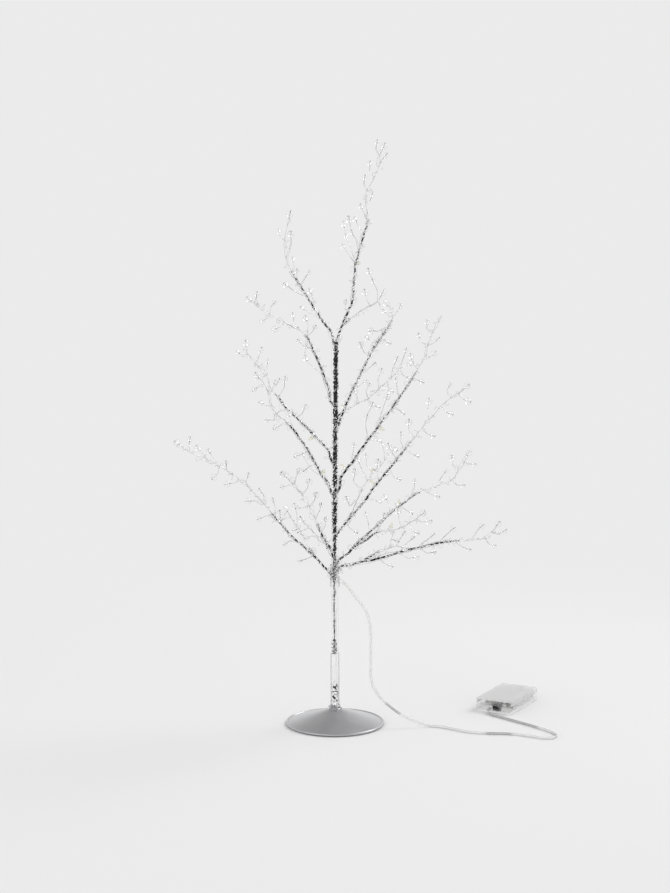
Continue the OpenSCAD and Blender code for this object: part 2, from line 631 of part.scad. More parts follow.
module clear_sleeve() {
    color([0.85, 0.88, 0.9, 0.5]) ring(sleeve_in + sleeve_t, sleeve_in, collar_top, sleeve_top);
}

// The wrap is a bundle of strands twisted round the rod, with a groove between strands
lobe_points = 5;
lay_steps = 9;
wrap_h = trunk_top - sleeve_top;
function lobe_r(a) = trunk_r - groove_depth * pow(abs(sin(a * trunk_strands / 2)), 3);
module trunk_wrap() {
    n = trunk_strands * lobe_points;
    color("silver") translate([0, 0, sleeve_top]) difference() {
        linear_extrude(wrap_h, twist = -360 * wrap_h / trunk_lay,
            slices = ceil(wrap_h / trunk_lay * lay_steps))
            polygon([for (i = [0:n - 1]) let (a = 360 * i / n) lobe_r(a) * [cos(a), sin(a)]]);
        translate([0, 0, -over]) cylinder(wrap_h + 2 * over, r = rod_hole_r, $fn = round_fn);
    }
}

// Clear band round the trunk, with a short spout that the lead comes out of
clip_h = 9;
clip_t = 0.7;
clip_r = trunk_r + gap;
spout_t = 0.6;
module lead_clip() {
    start = lead_route[0];
    way = unit(lead_route[1] - start);
    spout_r = lead_d / 2 + spout_t;
    color([0.85, 0.88, 0.9, 0.7]) difference() {
        union() {
            ring(clip_r + clip_t, clip_r, start[2] - clip_h / 2, start[2] + clip_h / 2);
            translate(start) along(-way) cylinder(start[0] - clip_r, r = spout_r, $fn = round_fn);
        }
        translate([0, 0, start[2] - clip_h]) cylinder(2 * clip_h, r = clip_r, $fn = round_fn);
    }
}

module lead() {
    color([0.88, 0.9, 0.92, 0.7])
        tube(lead_route, [for (p = lead_route) lead_d / 2], lead_sides);
}

// Battery box, drawn with its front wall on the Y axis and its length along X
module in_box() {
    translate([box_place[0], box_place[1], 0]) rotate(box_turn) children();
}

corner_r = 2.5;
edge_r = 1.2;
edge_steps = 4;
rail_gap = 0.3;
rail_t = 0.8;
tongue_t = 0.8;
half_w = box_w / 2;
lid_low = box_h - lid_skirt;
lid_side = half_w - box_wall;
tray_top = box_h - box_wall - rail_gap;
tray_side = lid_side - rail_gap;
tray_in = tray_side - rail_t - box_wall;
groove_low = lid_low + rail_gap;

// The cells fill the room that the chamber, the springs and the walls leave
CELLS = [-1, 0, 1];
cell_x = box_wall + chamber_l + box_wall;
cell_room = box_l - box_wall - cell_x;
contact_t = 0.4;
spring_room = 7.6;
cell_l = cell_room - spring_room - 2 * contact_t - 3 * gap;
cell_d = min((2 * (tray_in - gap) - (len(CELLS) - 1) * cell_gap) / len(CELLS),
    tray_top - box_wall - gap);
cell_pitch = cell_d + cell_gap;
cell_z = box_wall + gap + cell_d / 2;
contact_w = cell_d * 0.8;
contact_h = cell_d * 0.76;
rib_h = 2.4;
rib_t = 0.8;
rib_x = cell_x + contact_t + gap;
rib_l = cell_room - 2 * (contact_t + gap);

// How far a rib or a ridge reaches into the wall that it stands on
root_depth = box_wall / 2;

// Switch, with its knob standing out of the front wall
switch_y = -2;
switch_l = 5;
switch_h = 8;
switch_x = box_wall + gap;
switch_z = box_wall + gap + switch_h / 2;
knob_w = 3.4;
knob_h = 3;
knob_in = 1.8;
knob_out = 1.3;
knob_low = switch_y - (knob_w + switch_travel) / 2;
knob_grooves = 3;
knob_groove_w = 0.4;

// The lead's end, seen from the box
lead_end = lead_route[len(lead_route) - 1];
lead_to_box = [lead_end[0] - box_place[0], lead_end[1] - box_place[1]];
lead_end_x = lead_to_box[0] * cos(box_turn) + lead_to_box[1] * sin(box_turn);
lead_hole_y = lead_to_box[1] * cos(box_turn) - lead_to_box[0] * sin(box_turn);
lead_hole_z = lead_end[2];

module bar(x, y, z, size) {
    translate([x, y, z]) cube(size);
}

// Block with the box's outline and upright edges rounded
module box_block(low, high) {
    translate([0, 0, low]) {
        bar(corner_r, -half_w, 0, [box_l - 2 * corner_r, box_w, high - low]);
        bar(0, corner_r - half_w, 0, [box_l, box_w - 2 * corner_r, high - low]);
        for (x = [corner_r, box_l - corner_r]) for (m = [-1, 1])
            translate([x, m * (half_w - corner_r), 0]) cylinder(high - low, r = corner_r, $fn = round_fn);
    }
}

// Points of a rounded corner about a centre, from one angle through a quarter turn
function corner(y, z, from) = [for (i = [0:edge_steps])
    let (a = from + 90 * i / edge_steps) [y + edge_r * cos(a), z + edge_r * sin(a)]];

module lid_section() {
    polygon(concat([[-half_w, lid_low], [-lid_side, lid_low], [-lid_side, box_h - box_wall],
        [lid_side, box_h - box_wall], [lid_side, lid_low], [half_w, lid_low]],
        corner(half_w - edge_r, box_h - edge_r, 0), corner(edge_r - half_w, box_h - edge_r, 90)));
    for (m = [-1, 1]) translate([m * (lid_side - tongue_t / 2), groove_low + tongue_t / 2])
        square(tongue_t, center = true);
}

module tray_section() {
    step_z = lid_low - rail_gap;
    difference() {
        polygon(concat(corner(edge_r - half_w, edge_r, 180), corner(half_w - edge_r, edge_r, 270),
            [[half_w, step_z], [tray_side, step_z], [tray_side, tray_top], [-tray_side, tray_top],
            [-tray_side, step_z], [-half_w, step_z]]));
        for (m = [-1, 1]) translate([m * tray_side, groove_low + tongue_t / 2])
            square([2 * rail_t, tongue_t + 2 * rail_gap], center = true);
    }
}

module switch_slot(depth) {
    bar(-over, knob_low - gap, switch_z - knob_h / 2 - gap,
        [over + depth, knob_w + switch_travel + 2 * gap, knob_h + 2 * gap]);
}

module battery_tray() {
    color([0.88, 0.9, 0.92, 0.6]) in_box() {
        difference() {
            intersection() {
                rotate([90, 0, 90]) linear_extrude(box_l) tray_section();
                box_block(0, box_h);
            }
            bar(box_wall, -tray_in, box_wall, [chamber_l, 2 * tray_in, box_h]);
            bar(cell_x, -tray_in, box_wall, [cell_room, 2 * tray_in, box_h]);
            switch_slot(box_wall + over);
            translate([-over, lead_hole_y, lead_hole_z]) rotate([0, 90, 0])
                cylinder(box_wall + 2 * over, r = lead_d / 2 + gap, $fn = round_fn);
        }
        for (m = [-1, 1]) bar(rib_x, m * cell_pitch / 2 - rib_t / 2, box_wall - root_depth,
            [rib_l, rib_t, rib_h + root_depth]);
    }
}

// Lid that slides off the back of the box, with ridges for the thumb
grip_l = 1;
grip_h = 0.5;
grips = 4;
grip_w_share = 0.34;
module battery_lid() {
    grip_w = box_w * grip_w_share;
    color([0.9, 0.92, 0.94, 0.6]) in_box() {
        intersection() {
            rotate([90, 0, 90]) linear_extrude(box_l) lid_section();
            box_block(lid_low, box_h);
        }
        for (i = [1:grips])
            bar(box_l - corner_r - 2 * i * grip_l, -grip_w / 2, box_h - root_depth,
                [grip_l, grip_w, grip_h + root_depth]);
    }
}

// The outer cells point one way and the middle one the other, each with its nub away from its
// spring
nub_d = cell_d * 0.36;
nub_l = 0.9;
function from_front(i) = i != 0;
module one_cell() {
    rotate([0, 90, 0]) {
        cylinder(cell_l - nub_l, d = cell_d, $fn = round_fn);
        cylinder(cell_l, d = nub_d, $fn = round_fn);
    }
}

// Puts what follows at a cell's axis, and turns it end for end for the middle cell
module at_cell(i) {
    in_box() translate([from_front(i) ? cell_x : cell_x + cell_room, i * cell_pitch, cell_z])
        mirror([from_front(i) ? 0 : 1, 0, 0]) children();
}

module battery_cells() {
    color("dimgray") for (i = CELLS) at_cell(i)
        translate([contact_t + 2 * gap + spring_room, 0, 0]) one_cell();
}

// Conical springs, wide at the contact and narrow at the cell
spring_big_r = cell_d * 0.36;
spring_small_r = cell_d * 0.25;
spring_rings = 8;
spring_sides = 6;
spring_l = spring_room - spring_wire_d;
function spring_point(s) = let (a = 360 * spring_turns * s,
    r = spring_big_r + (spring_small_r - spring_big_r) * s)
    [spring_wire_d / 2 + spring_l * s, r * cos(a), r * sin(a)];
spring_path = [for (i = [0:spring_turns * spring_rings]) spring_point(i / (spring_turns * spring_rings))];
spring_self_gap = min([for (i = [0:(spring_turns - 1) * spring_rings])
    norm(spring_path[i + spring_rings] - spring_path[i])]) - spring_wire_d;
echo("Least gap of a battery spring to itself", spring_self_gap);

module battery_springs() {
    color("silver") for (i = CELLS) at_cell(i) translate([contact_t + gap, 0, 0])
        tube(spring_path, [for (p = spring_path) spring_wire_d / 2], spring_sides);
}

module contact_plate(x, from, to) {
    in_box() bar(x, from * cell_pitch - contact_w / 2, cell_z - contact_h / 2,
        [contact_t, (to - from) * cell_pitch + contact_w, contact_h]);
}

module battery_contacts() {
    back_x = cell_x + cell_room - contact_t;
    color("lightgray") {
        contact_plate(cell_x, -1, -1);
        contact_plate(cell_x, 0, 1);
        contact_plate(back_x, -1, 0);
        contact_plate(back_x, 1, 1);
    }
}

module switch_body() {
    color("black") in_box() difference() {
        bar(switch_x, switch_y - switch_w / 2, switch_z - switch_h / 2, [switch_l, switch_w, switch_h]);
        switch_slot(switch_x + knob_in + gap);
    }
}

module switch_knob() {
    color("black") in_box() difference() {
        bar(-knob_out, knob_low, switch_z - knob_h / 2, [knob_out + switch_x + knob_in, knob_w, knob_h]);
        for (i = [1:knob_grooves])
            bar(-knob_out - over, knob_low + knob_w * i / (knob_grooves + 1) - knob_groove_w / 2,
                switch_z - knob_h, [over + knob_groove_w, knob_groove_w, 2 * knob_h]);
    }
}

// Wires in the front chamber, from the switch and from the lead to the cells' contacts
box_wire_d = 1;
module box_wire(route) {
    tube(route, [for (p = route) box_wire_d / 2], wire_sides);
}

module box_wires() {
    back = switch_x + switch_l + box_wire_d;
    color("dimgray") in_box() {
        box_wire([[back, switch_y, switch_z], [back, switch_y - switch_w / 2, cell_z],
            [back, -cell_pitch, cell_z]]);
        box_wire([[lead_end_x + gap, lead_hole_y, lead_hole_z],
            [back - box_wire_d, lead_hole_y, lead_hole_z],
            [back, lead_hole_y + lead_d, cell_z], [back, cell_pitch, cell_z]]);
    }
}

foot_dome();
foot_weight();
foot_pad();
foot_collar();
foot_washer();
foot_nut();
trunk_rod();
trunk_post();
foil_cuff();
clear_sleeve();
trunk_wrap();
lead_clip();
lead();
battery_tray();
battery_lid();
battery_cells();
battery_springs();
battery_contacts();
box_wires();
switch_body();
switch_knob();
for (b = BRANCHES) {
    branch_wires(b);
    branch_beads(b);
    branch_lamps(b);
}
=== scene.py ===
"""Looks of the lighted twig tree, in metres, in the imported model's frame."""

import json
import math
import random

import bpy
import numpy as np
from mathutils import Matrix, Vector, noise

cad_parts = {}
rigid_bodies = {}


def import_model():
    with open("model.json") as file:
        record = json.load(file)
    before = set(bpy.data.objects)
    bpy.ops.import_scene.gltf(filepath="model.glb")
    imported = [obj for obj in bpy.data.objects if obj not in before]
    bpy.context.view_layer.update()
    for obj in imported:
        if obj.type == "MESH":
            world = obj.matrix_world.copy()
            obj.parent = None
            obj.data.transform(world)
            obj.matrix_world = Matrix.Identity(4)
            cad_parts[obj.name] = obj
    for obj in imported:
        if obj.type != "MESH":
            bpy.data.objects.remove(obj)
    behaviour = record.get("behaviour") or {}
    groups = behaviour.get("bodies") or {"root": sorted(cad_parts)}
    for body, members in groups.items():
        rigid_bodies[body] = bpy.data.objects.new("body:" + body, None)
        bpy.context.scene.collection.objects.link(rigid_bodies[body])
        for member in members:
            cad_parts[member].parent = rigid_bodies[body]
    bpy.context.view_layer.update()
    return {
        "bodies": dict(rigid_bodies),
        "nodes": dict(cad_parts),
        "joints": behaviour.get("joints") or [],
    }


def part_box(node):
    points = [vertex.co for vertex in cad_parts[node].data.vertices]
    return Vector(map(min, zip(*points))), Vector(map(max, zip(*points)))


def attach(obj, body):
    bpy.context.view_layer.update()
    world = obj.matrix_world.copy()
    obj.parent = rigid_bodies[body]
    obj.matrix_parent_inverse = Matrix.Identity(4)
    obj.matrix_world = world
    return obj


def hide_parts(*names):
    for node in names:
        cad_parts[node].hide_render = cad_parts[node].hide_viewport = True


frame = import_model()

NODES = frame["nodes"]
JOINT_OF = {j["child"]: j for j in frame["joints"]}
BRANCHES = [body for body in frame["bodies"] if body + "_wires" in NODES]
STAND = "stand"
MM = 0.001
TURN = 2 * math.pi


# Camera: picture height and focal length in pixels, sensor in mm, place in m, tip below level in degrees
IMAGE_H = 893
FOCUS_PX = 2100
SENSOR = 36
EYE_OUT = 2.118
EYE_UP = 0.6
EYE_TIP = 8.3


def make_camera():
    data = bpy.data.cameras.new("camera")
    data.sensor_width = SENSOR
    data.lens = FOCUS_PX / IMAGE_H * SENSOR
    camera = bpy.data.objects.new("camera", data)
    camera.location = (0, -EYE_OUT, EYE_UP)
    camera.rotation_euler = (math.radians(90 - EYE_TIP), 0, 0)
    bpy.context.scene.collection.objects.link(camera)
    bpy.context.scene.camera = camera


# Materials: tones are linear, and a noise's scale is in waves a metre
def shader_of(made):
    return made.node_tree.nodes["Principled BSDF"]


def new_material(name, **values):
    """A material whose Principled shader has the given inputs"""
    made = bpy.data.materials.new(name)
    made.use_nodes = True
    for key, value in values.items():
        socket = key.replace("_", " ").title().replace("Ior", "IOR")
        shader_of(made).inputs[socket].default_value = value
    return made


def noise_texture(made, scale, detail):
    """A 3-D noise in the object's own metres"""
    tree = made.node_tree
    place = tree.nodes.new("ShaderNodeTexCoord")
    texture = tree.nodes.new("ShaderNodeTexNoise")
    texture.inputs["Scale"].default_value = scale
    texture.inputs["Detail"].default_value = detail
    tree.links.new(place.outputs["Object"], texture.inputs["Vector"])
    return texture


def blend(made, socket, ramp, first, second):
    """Takes a shader input from a first value or colour to a second as a ramp rises"""
    tree = made.node_tree
    if isinstance(first, tuple):
        mix = tree.nodes.new("ShaderNodeMix")
        mix.data_type = "RGBA"
        mix.inputs["A"].default_value = (*first, 1)
        mix.inputs["B"].default_value = (*second, 1)
        tree.links.new(ramp.outputs["Result"], mix.inputs["Factor"])
        tree.links.new(mix.outputs["Result"], shader_of(made).inputs[socket])
    else:
        ramp.inputs["To Min"].default_value = first
        ramp.inputs["To Max"].default_value = second
        tree.links.new(ramp.outputs["Result"], shader_of(made).inputs[socket])


def vary(made, socket, low, high, scale, detail=3, spread=(0.3, 0.7)):
    """Lets a shader input wander between two values over the surface"""
    tree = made.node_tree
    texture = noise_texture(made, scale, detail)
    ramp = tree.nodes.new("ShaderNodeMapRange")
    tree.links.new(texture.outputs["Fac"], ramp.inputs["Value"])
    ramp.inputs["From Min"].default_value, ramp.inputs["From Max"].default_value = spread
    blend(made, socket, ramp, low, high)


def by_edge(made, socket, middle, edge, start):
    """Sets an input from how far the surface turns from the eye: middle up to start, then on to edge"""
    tree = made.node_tree
    facing = tree.nodes.new("ShaderNodeLayerWeight")
    ramp = tree.nodes.new("ShaderNodeMapRange")
    ramp.inputs["From Min"].default_value = start
    tree.links.new(facing.outputs["Facing"], ramp.inputs["Value"])
    blend(made, socket, ramp, middle, edge)


def bump(made, scale, depth, detail=3):
    """Fine unevenness of a surface, with its depth in metres"""
    tree = made.node_tree
    texture = noise_texture(made, scale, detail)
    node = tree.nodes.new("ShaderNodeBump")
    node.inputs["Strength"].default_value = 1
    node.inputs["Distance"].default_value = depth
    tree.links.new(texture.outputs["Fac"], node.inputs["Height"])
    tree.links.new(node.outputs["Normal"], shader_of(made).inputs["Normal"])


def satin_silver():
    """Lacquered silver sheet of the foot, with no grain that shows"""
    made = new_material("satin_silver", metallic=0.9)
    vary(made, "Base Color", (0.44, 0.44, 0.45), (0.48, 0.48, 0.49), 60)
    vary(made, "Roughness", 0.32, 0.36, 60)
    return made


def silver_foil():
    made = new_material("silver_foil", metallic=0.8, roughness=0.2)
    vary(made, "Base Color", (0.85, 0.85, 0.86), (0.98, 0.98, 0.98), 500)
    bump(made, 900, 0.25 * MM, detail=2)
    return made


def cuff_foil():
    """Silver foil with near-black patches in its colour: painted dark reflections in its creases"""
    made = new_material("cuff_foil", metallic=0.9, roughness=0.25)
    # Painted reflection: noise patches take the foil's colour down to near black, for creases that mirror
    # darker surroundings
    vary(made, "Base Color", (0.01, 0.01, 0.01), (0.97, 0.97, 0.98), 420, detail=2, spread=(0.42, 0.47))
    bump(made, 700, 0.3 * MM, detail=2)
    return made


def dark_core():
    """Black wrap that shows between the foil"""
    made = new_material("dark_core", roughness=0.4, specular_ior_level=0.06)
    vary(made, "Base Color", (0.004, 0.004, 0.004), (0.02, 0.02, 0.02), 700)
    bump(made, 1200, 0.1 * MM)
    return made


def thin_wire():
    """Silvered wire, brighter and duller in patches"""
    made = new_material("thin_wire", metallic=0.8, roughness=0.35)
    vary(made, "Base Color", (0.48, 0.48, 0.485), (0.9, 0.9, 0.91), 350)
    return made


def thin_clear(name, tone, painted_rim_tone, middle, edge, start, roughness):
    """A thin clear wall: its cover is middle where it faces the eye and rises past start to edge. Its colour
    darkens towards the rim, a painted reflection of darker surroundings
    """
    made = new_material(name)
    # Painted reflection: the colour darkens to the rim tone as the surface turns from the eye
    by_edge(made, "Base Color", tone, painted_rim_tone, 0.2)
    vary(made, "Roughness", 0.8 * roughness, 1.2 * roughness, 300)
    by_edge(made, "Alpha", middle, edge, start)
    return made


def clear_acrylic():
    """Solid clear beads whose rim is painted grey, as a painted reflection of darker surroundings"""
    made = new_material("clear_acrylic", transmission_weight=1.0, ior=1.49)
    # Painted reflection: the colour darkens to grey as the surface turns from the eye
    by_edge(made, "Base Color", (1.0, 1.0, 1.0), (0.42, 0.42, 0.43), 0.4)
    vary(made, "Roughness", 0.09, 0.18, 300)
    return made


# Where the lead's copper shows, each as a place and a reach in mm, and the share of it that is all brown
COPPER_SHOWS = (((186, 9, 1.4), 39), ((60, -14, 20), 10), ((167, -41, 1.4), 14))
COPPER_WHOLE = 0.85
COPPER = (0.1, 0.075, 0.07, 1)
TINNED = (0.86, 0.86, 0.86, 1)


def copper_core():
    """Tinned strands, brown where the copper shows"""
    made = new_material("copper_core", metallic=0.6, roughness=0.4)
    tree = made.node_tree
    place = tree.nodes.new("ShaderNodeTexCoord")
    colour = None
    for spot, reach in COPPER_SHOWS:
        away = tree.nodes.new("ShaderNodeVectorMath")
        away.operation = "DISTANCE"
        away.inputs[1].default_value = [x * MM for x in spot]
        near = tree.nodes.new("ShaderNodeMapRange")
        near.inputs["From Min"].default_value = reach * MM
        near.inputs["From Max"].default_value = COPPER_WHOLE * reach * MM
        mix = tree.nodes.new("ShaderNodeMix")
        mix.data_type = "RGBA"
        mix.inputs["A"].default_value = TINNED
        mix.inputs["B"].default_value = COPPER
        tree.links.new(place.outputs["Object"], away.inputs[0])
        tree.links.new(away.outputs["Value"], near.inputs["Value"])
        tree.links.new(near.outputs["Result"], mix.inputs["Factor"])
        if colour:
            tree.links.new(colour, mix.inputs["A"])
        colour = mix.outputs["Result"]
    tree.links.new(colour, shader_of(made).inputs["Base Color"])
    return made


def lamp_lens():
    """Clear lens of an unlit warm white lamp, its rim painted darker as a painted reflection of darker
    surroundings
    """
    made = new_material("lamp_lens", transmission_weight=1.0, ior=1.45)
    # Painted reflection: the colour darkens towards the rim as the surface turns from the eye
    by_edge(made, "Base Color", (0.93, 0.91, 0.8), (0.5, 0.48, 0.4), 0.35)
    vary(made, "Roughness", 0.05, 0.15, 300)
    return made


def moulded(name, dark, light, roughness, scale=300, grain=0.03 * MM):
    """Plain plastic, foam or paper"""
    made = new_material(name, roughness=roughness)
    vary(made, "Base Color", dark, light, scale)
    bump(made, scale * 5, grain)
    return made


def bare_metal(name, dark, light, roughness):
    made = new_material(name, metallic=1.0, roughness=roughness)
    vary(made, "Base Color", dark, light, 200)
    bump(made, 1500, 0.03 * MM)
    return made


# Vectors and paths
FINE = 12


def unit(v):
    return v / np.linalg.norm(v, axis=-1, keepdims=True)


def curve_through(points, step):
    """Points a step apart on a smooth curve through the given ones, and each one's place and run"""
    points = np.asarray(points, float)
    p = np.vstack([2 * points[0] - points[1], points, 2 * points[-1] - points[-2]])
    dots, at = [], []
    for i in range(len(points) - 1):
        a, b, c, d = p[i:i + 4]
        for t in np.arange(FINE) / FINE:
            dots.append(((-a + 3 * b - 3 * c + d) * t ** 3 + (2 * a - 5 * b + 4 * c - d) * t ** 2
                         + (c - a) * t + 2 * b) / 2)
            at.append(i + t)
    dots.append(points[-1])
    at.append(len(points) - 1)
    dots = np.array(dots)
    run = np.concatenate([[0], np.cumsum(np.linalg.norm(np.diff(dots, axis=0), axis=1))])
    count = max(2, round(run[-1] / step))
    s = np.linspace(0, run[-1], count + 1)
    path = np.column_stack([np.interp(s, run, dots[:, k]) for k in range(3)])
    return path, np.interp(s, run, at), s


def frames_along(path):
    """A path's tangents and two directions square to them that don't turn about it"""
    t = unit(np.gradient(path, axis=0))
    n = np.zeros_like(t)
    start = np.cross(t[0], (0, 0, 1) if abs(t[0][2]) < 0.9 else (1, 0, 0))
    n[0] = unit(start)
    for i in range(1, len(t)):
        n[i] = unit(n[i - 1] - t[i] * np.dot(n[i - 1], t[i]))
    return t, n, np.cross(t, n)


def about(n, b, angles):
    """Directions at the given angles about a path, from its two directions square to it"""
    return np.cos(angles)[:, None] * n + np.sin(angles)[:, None] * b


def wander(s, seed, scale):
    """Smooth values between about -1 and 1 along a length"""
    return np.array([noise.noise(Vector((x / scale, seed * 7.31, seed * 1.7))) for x in s])


def swing(s, seed, amount, scale):
    """Smooth values between about minus the amount and the amount along a length"""
    return amount * wander(s, seed, scale)


# Building meshes
class Shape:
    """Closed tubes gathered into one mesh, each face with its material's number"""

    def __init__(self):
        self.points, self.faces, self.numbers = [], [], []

    def rings(self, rings, number=0):
        """A closed tube through rings of points"""
        n = len(rings[0])
        start = len(self.points)
        self.points.extend(np.asarray(rings).reshape(-1, 3).tolist())
        last = start + (len(rings) - 1) * n
        for a in range(start, last, n):
            for j in range(n):
                k = (j + 1) % n
                self.faces.append((a + j, a + k, a + n + k, a + n + j))
        self.faces.append(tuple(range(start + n - 1, start - 1, -1)))
        self.faces.append(tuple(range(last, last + n)))
        self.numbers.extend([number] * (len(self.faces) - len(self.numbers)))

    def wire(self, path, radius, number, sides=5):
        """A round wire along a path; radius is one number or one for each point"""
        n, b = frames_along(path)[1:]
        radius = np.broadcast_to(radius, len(path))
        turn = TURN * np.arange(sides) / sides
        around = np.cos(turn)[None, :, None] * n[:, None] + np.sin(turn)[None, :, None] * b[:, None]
        self.rings(path[:, None] + around * radius[:, None, None], number)

    def ribbon(self, path, flat, wide, thick, number):
        """A thin strip along a path; flat is the direction across it"""
        t = unit(np.gradient(path, axis=0))
        up = unit(np.cross(t, flat))
        wide = np.broadcast_to(wide, len(path))[:, None]
        edges = [path + flat * wide, path + up * thick, path - flat * wide, path - up * thick]
        self.rings(np.stack(edges, 1), number)

    def piece(self, name, materials, body, slot, replaced=(), smooth=True):
        """The gathered mesh as an object that rides with a body and stands in for the named nodes"""
        mesh = bpy.data.meshes.new(name)
        mesh.from_pydata(self.points, [], self.faces)
        mesh.polygons.foreach_set("material_index", self.numbers)
        mesh.polygons.foreach_set("use_smooth", [smooth] * len(self.faces))
        for made in materials:
            mesh.materials.append(made)
        mesh.update()
        made = bpy.data.objects.new(name, mesh)
        bpy.context.scene.collection.objects.link(made)
        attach(made, body)
        if replaced:
            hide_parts(*replaced)
        return made


# Centrelines of the CAD wires
STEM_SIDES = 6
TWIG_SIDES = 4
ROOT_REACH = 2 * MM
STEM_FACE = 1.1 * MM
ONE_PLANE = 0.9995


def neighbours_of(triangles):
    """The corners that share a triangle with each corner"""
    links = {}
    for tri in triangles:
        for v in tri:
            links.setdefault(v, set()).update(tri)
    return links


def solids_of(node):
    """A CAD node's separate solids, each as its points and its triangles"""
    mesh = NODES[node].data
    raw = np.array([v.co for v in mesh.vertices])
    points, index = np.unique(np.round(raw, 6), axis=0, return_inverse=True)
    index = index.reshape(-1)
    triangles = [tuple(index[list(p.vertices)]) for p in mesh.polygons]
    triangles = [t for t in triangles if len(set(t)) == 3]
    links = neighbours_of(triangles)
    seen, solids = set(), []
    for v in sorted(links):
        if v in seen:
            continue
        group, edge = {v}, [v]
        while edge:
            for w in links[edge.pop()] - group:
                group.add(w)
                edge.append(w)
        seen |= group
        solids.append(({w: points[w] for w in group}, [t for t in triangles if t[0] in group]))
    return solids


def flat_faces(points, triangles):
    """Groups of triangles that lie in one plane, each as its corners"""
    normals = [unit(np.cross(points[b] - points[a], points[c] - points[a])) for a, b, c in triangles]
    group = list(range(len(triangles)))

    def root(i):
        while group[i] != i:
            i = group[i]
        return i

    beyond = {}
    for i, tri in enumerate(triangles):
        for k in range(3):
            edge = frozenset((tri[k], tri[k - 1]))
            if edge in beyond and np.dot(normals[beyond[edge]], normals[i]) > ONE_PLANE:
                group[root(i)] = root(beyond[edge])
            beyond[edge] = i
    faces = {}
    for i, tri in enumerate(triangles):
        faces.setdefault(root(i), set()).update(tri)
    return list(faces.values())


def reach_of(points, face):
    """How far a face's corners lie from its middle"""
    spots = np.array([points[v] for v in face])
    return np.linalg.norm(spots - spots.mean(0), axis=1).max()


def nearest(point, others):
    return others[np.argmin(np.linalg.norm(others - point, axis=1))]


def centreline(points, triangles, layer):
    """Middles and radii of a tube's rings, from the end face given as layer on"""
    links = neighbours_of(triangles)
    sides = len(layer)
    seen = set(layer)
    middles, radii = [], []
    while len(layer) == sides:
        spots = np.array([points[v] for v in layer])
        middles.append(spots.mean(0))
        radii.append(np.linalg.norm(spots - spots.mean(0), axis=1).mean())
        layer = set().union(*[links[v] for v in layer]) - seen
        seen |= layer
    return np.array(middles), np.array(radii)


def wires_of(branch):
    """Stems of a branch as their middles and radii, and twigs as their middles, each from its root on"""
    hinge = np.array(JOINT_OF[branch]["pos_m"])
    stems, twigs = [], []
    for points, triangles in solids_of(branch + "_wires"):
        spots = np.array(list(points.values()))
        ends = [f for f in flat_faces(points, triangles)
                if len(f) == STEM_SIDES and reach_of(points, f) < STEM_FACE]
        if np.linalg.norm(spots - hinge, axis=1).min() < ROOT_REACH:
            tip = max(ends, key=lambda f: np.linalg.norm(np.mean([points[v] for v in f], axis=0) - hinge))
            middles, radii = centreline(points, triangles, tip)
            stems.insert(0, (np.vstack([hinge, middles[::-1]]), np.append(radii, radii[-1])[::-1]))
        elif ends:
            middles, radii = centreline(points, triangles, min(ends, key=lambda f: reach_of(points, f)))
            stems.append((middles[::-1], radii[::-1]))
        else:
            ends = [f for f in flat_faces(points, triangles) if len(f) == TWIG_SIDES]
            twigs.append(centreline(points, triangles, min(ends, key=lambda f: reach_of(points, f)))[0])
    main = [stems[0]]
    for middles, radii in stems[1:]:
        root = nearest(middles[0], main[0][0])
        main.append((np.vstack([root, middles]), np.append(radii[0], radii)))
    dense = np.vstack([curve_through(middles, MM)[0] for middles, _ in main])
    tied = []
    for middles in twigs:
        away = [np.linalg.norm(dense - middles[k], axis=1).min() for k in (0, -1)]
        if away[0] > away[1]:
            middles = middles[::-1]
        tied.append(np.vstack([nearest(middles[0], dense), middles]))
    return main, tied


# Tinsel: its materials' numbers, the step along a stem or the trunk, and the radii of its wires
CORE, FOIL, WIRE = 0, 1, 2
STEP = 0.6 * MM
BARE_R = 0.22 * MM
TWIG_R = 0.21 * MM
LOOSE_R = 0.2 * MM
SECOND_R = 0.3 * MM
CURL_R = 0.17 * MM
STRAGGLE_R = 0.16 * MM

# A strip: how it drifts round, is dented, leans and changes in breadth, each as an amount and a length
STRIP_DRIFT = (2.2, 11 * MM)
STRIP_DENTS = (0.26, 1.3 * MM)
STRIP_LEAN = (1.1, 1.6 * MM)
STRIP_BREADTH = (0.9, 5 * MM)
STRIP_LEAST = 0.08
STRIP_OUT = 0.86
STRIP_T = 0.07 * MM


def strip_along(shape, line, run, size, lay, phase, seed, thin, broad):
    """A foil strip wound loosely round a line; thin and broad are shares of the line's size"""
    turn = phase + swing(run, seed, *STRIP_DRIFT)
    n, b = frames_along(line)[1:]
    away = about(n, b, TURN * run / lay + turn)
    out = size * (STRIP_OUT + swing(run, seed + 1, *STRIP_DENTS))
    wound = line + away * out[:, None]
    way = unit(np.gradient(wound, axis=0))
    lean = swing(run, seed + 2, *STRIP_LEAN)[:, None]
    flat = unit(unit(np.cross(way, away)) + away * lean)
    share = np.clip(0.5 + swing(run, seed + 3, *STRIP_BREADTH), STRIP_LEAST, 1)
    shape.ribbon(wound, flat, size * (thin + (broad - thin) * share), STRIP_T, FOIL)


# A flap: half its width from root to tip in mm, its thickness, shares of the spacing and of the reach,
# where its root lies as a share of the wire's size, its curl and its twist
FLAP_MM = (0.34, 0.1)
FLAP_T = 0.05 * MM
FLAP_GAPS = (0.5, 1.5)
FLAP_REACHES = (0.4, 1)
FLAP_ROOT = 0.6
FLAP_CURL = 0.4
FLAP_TWIST = 0.5


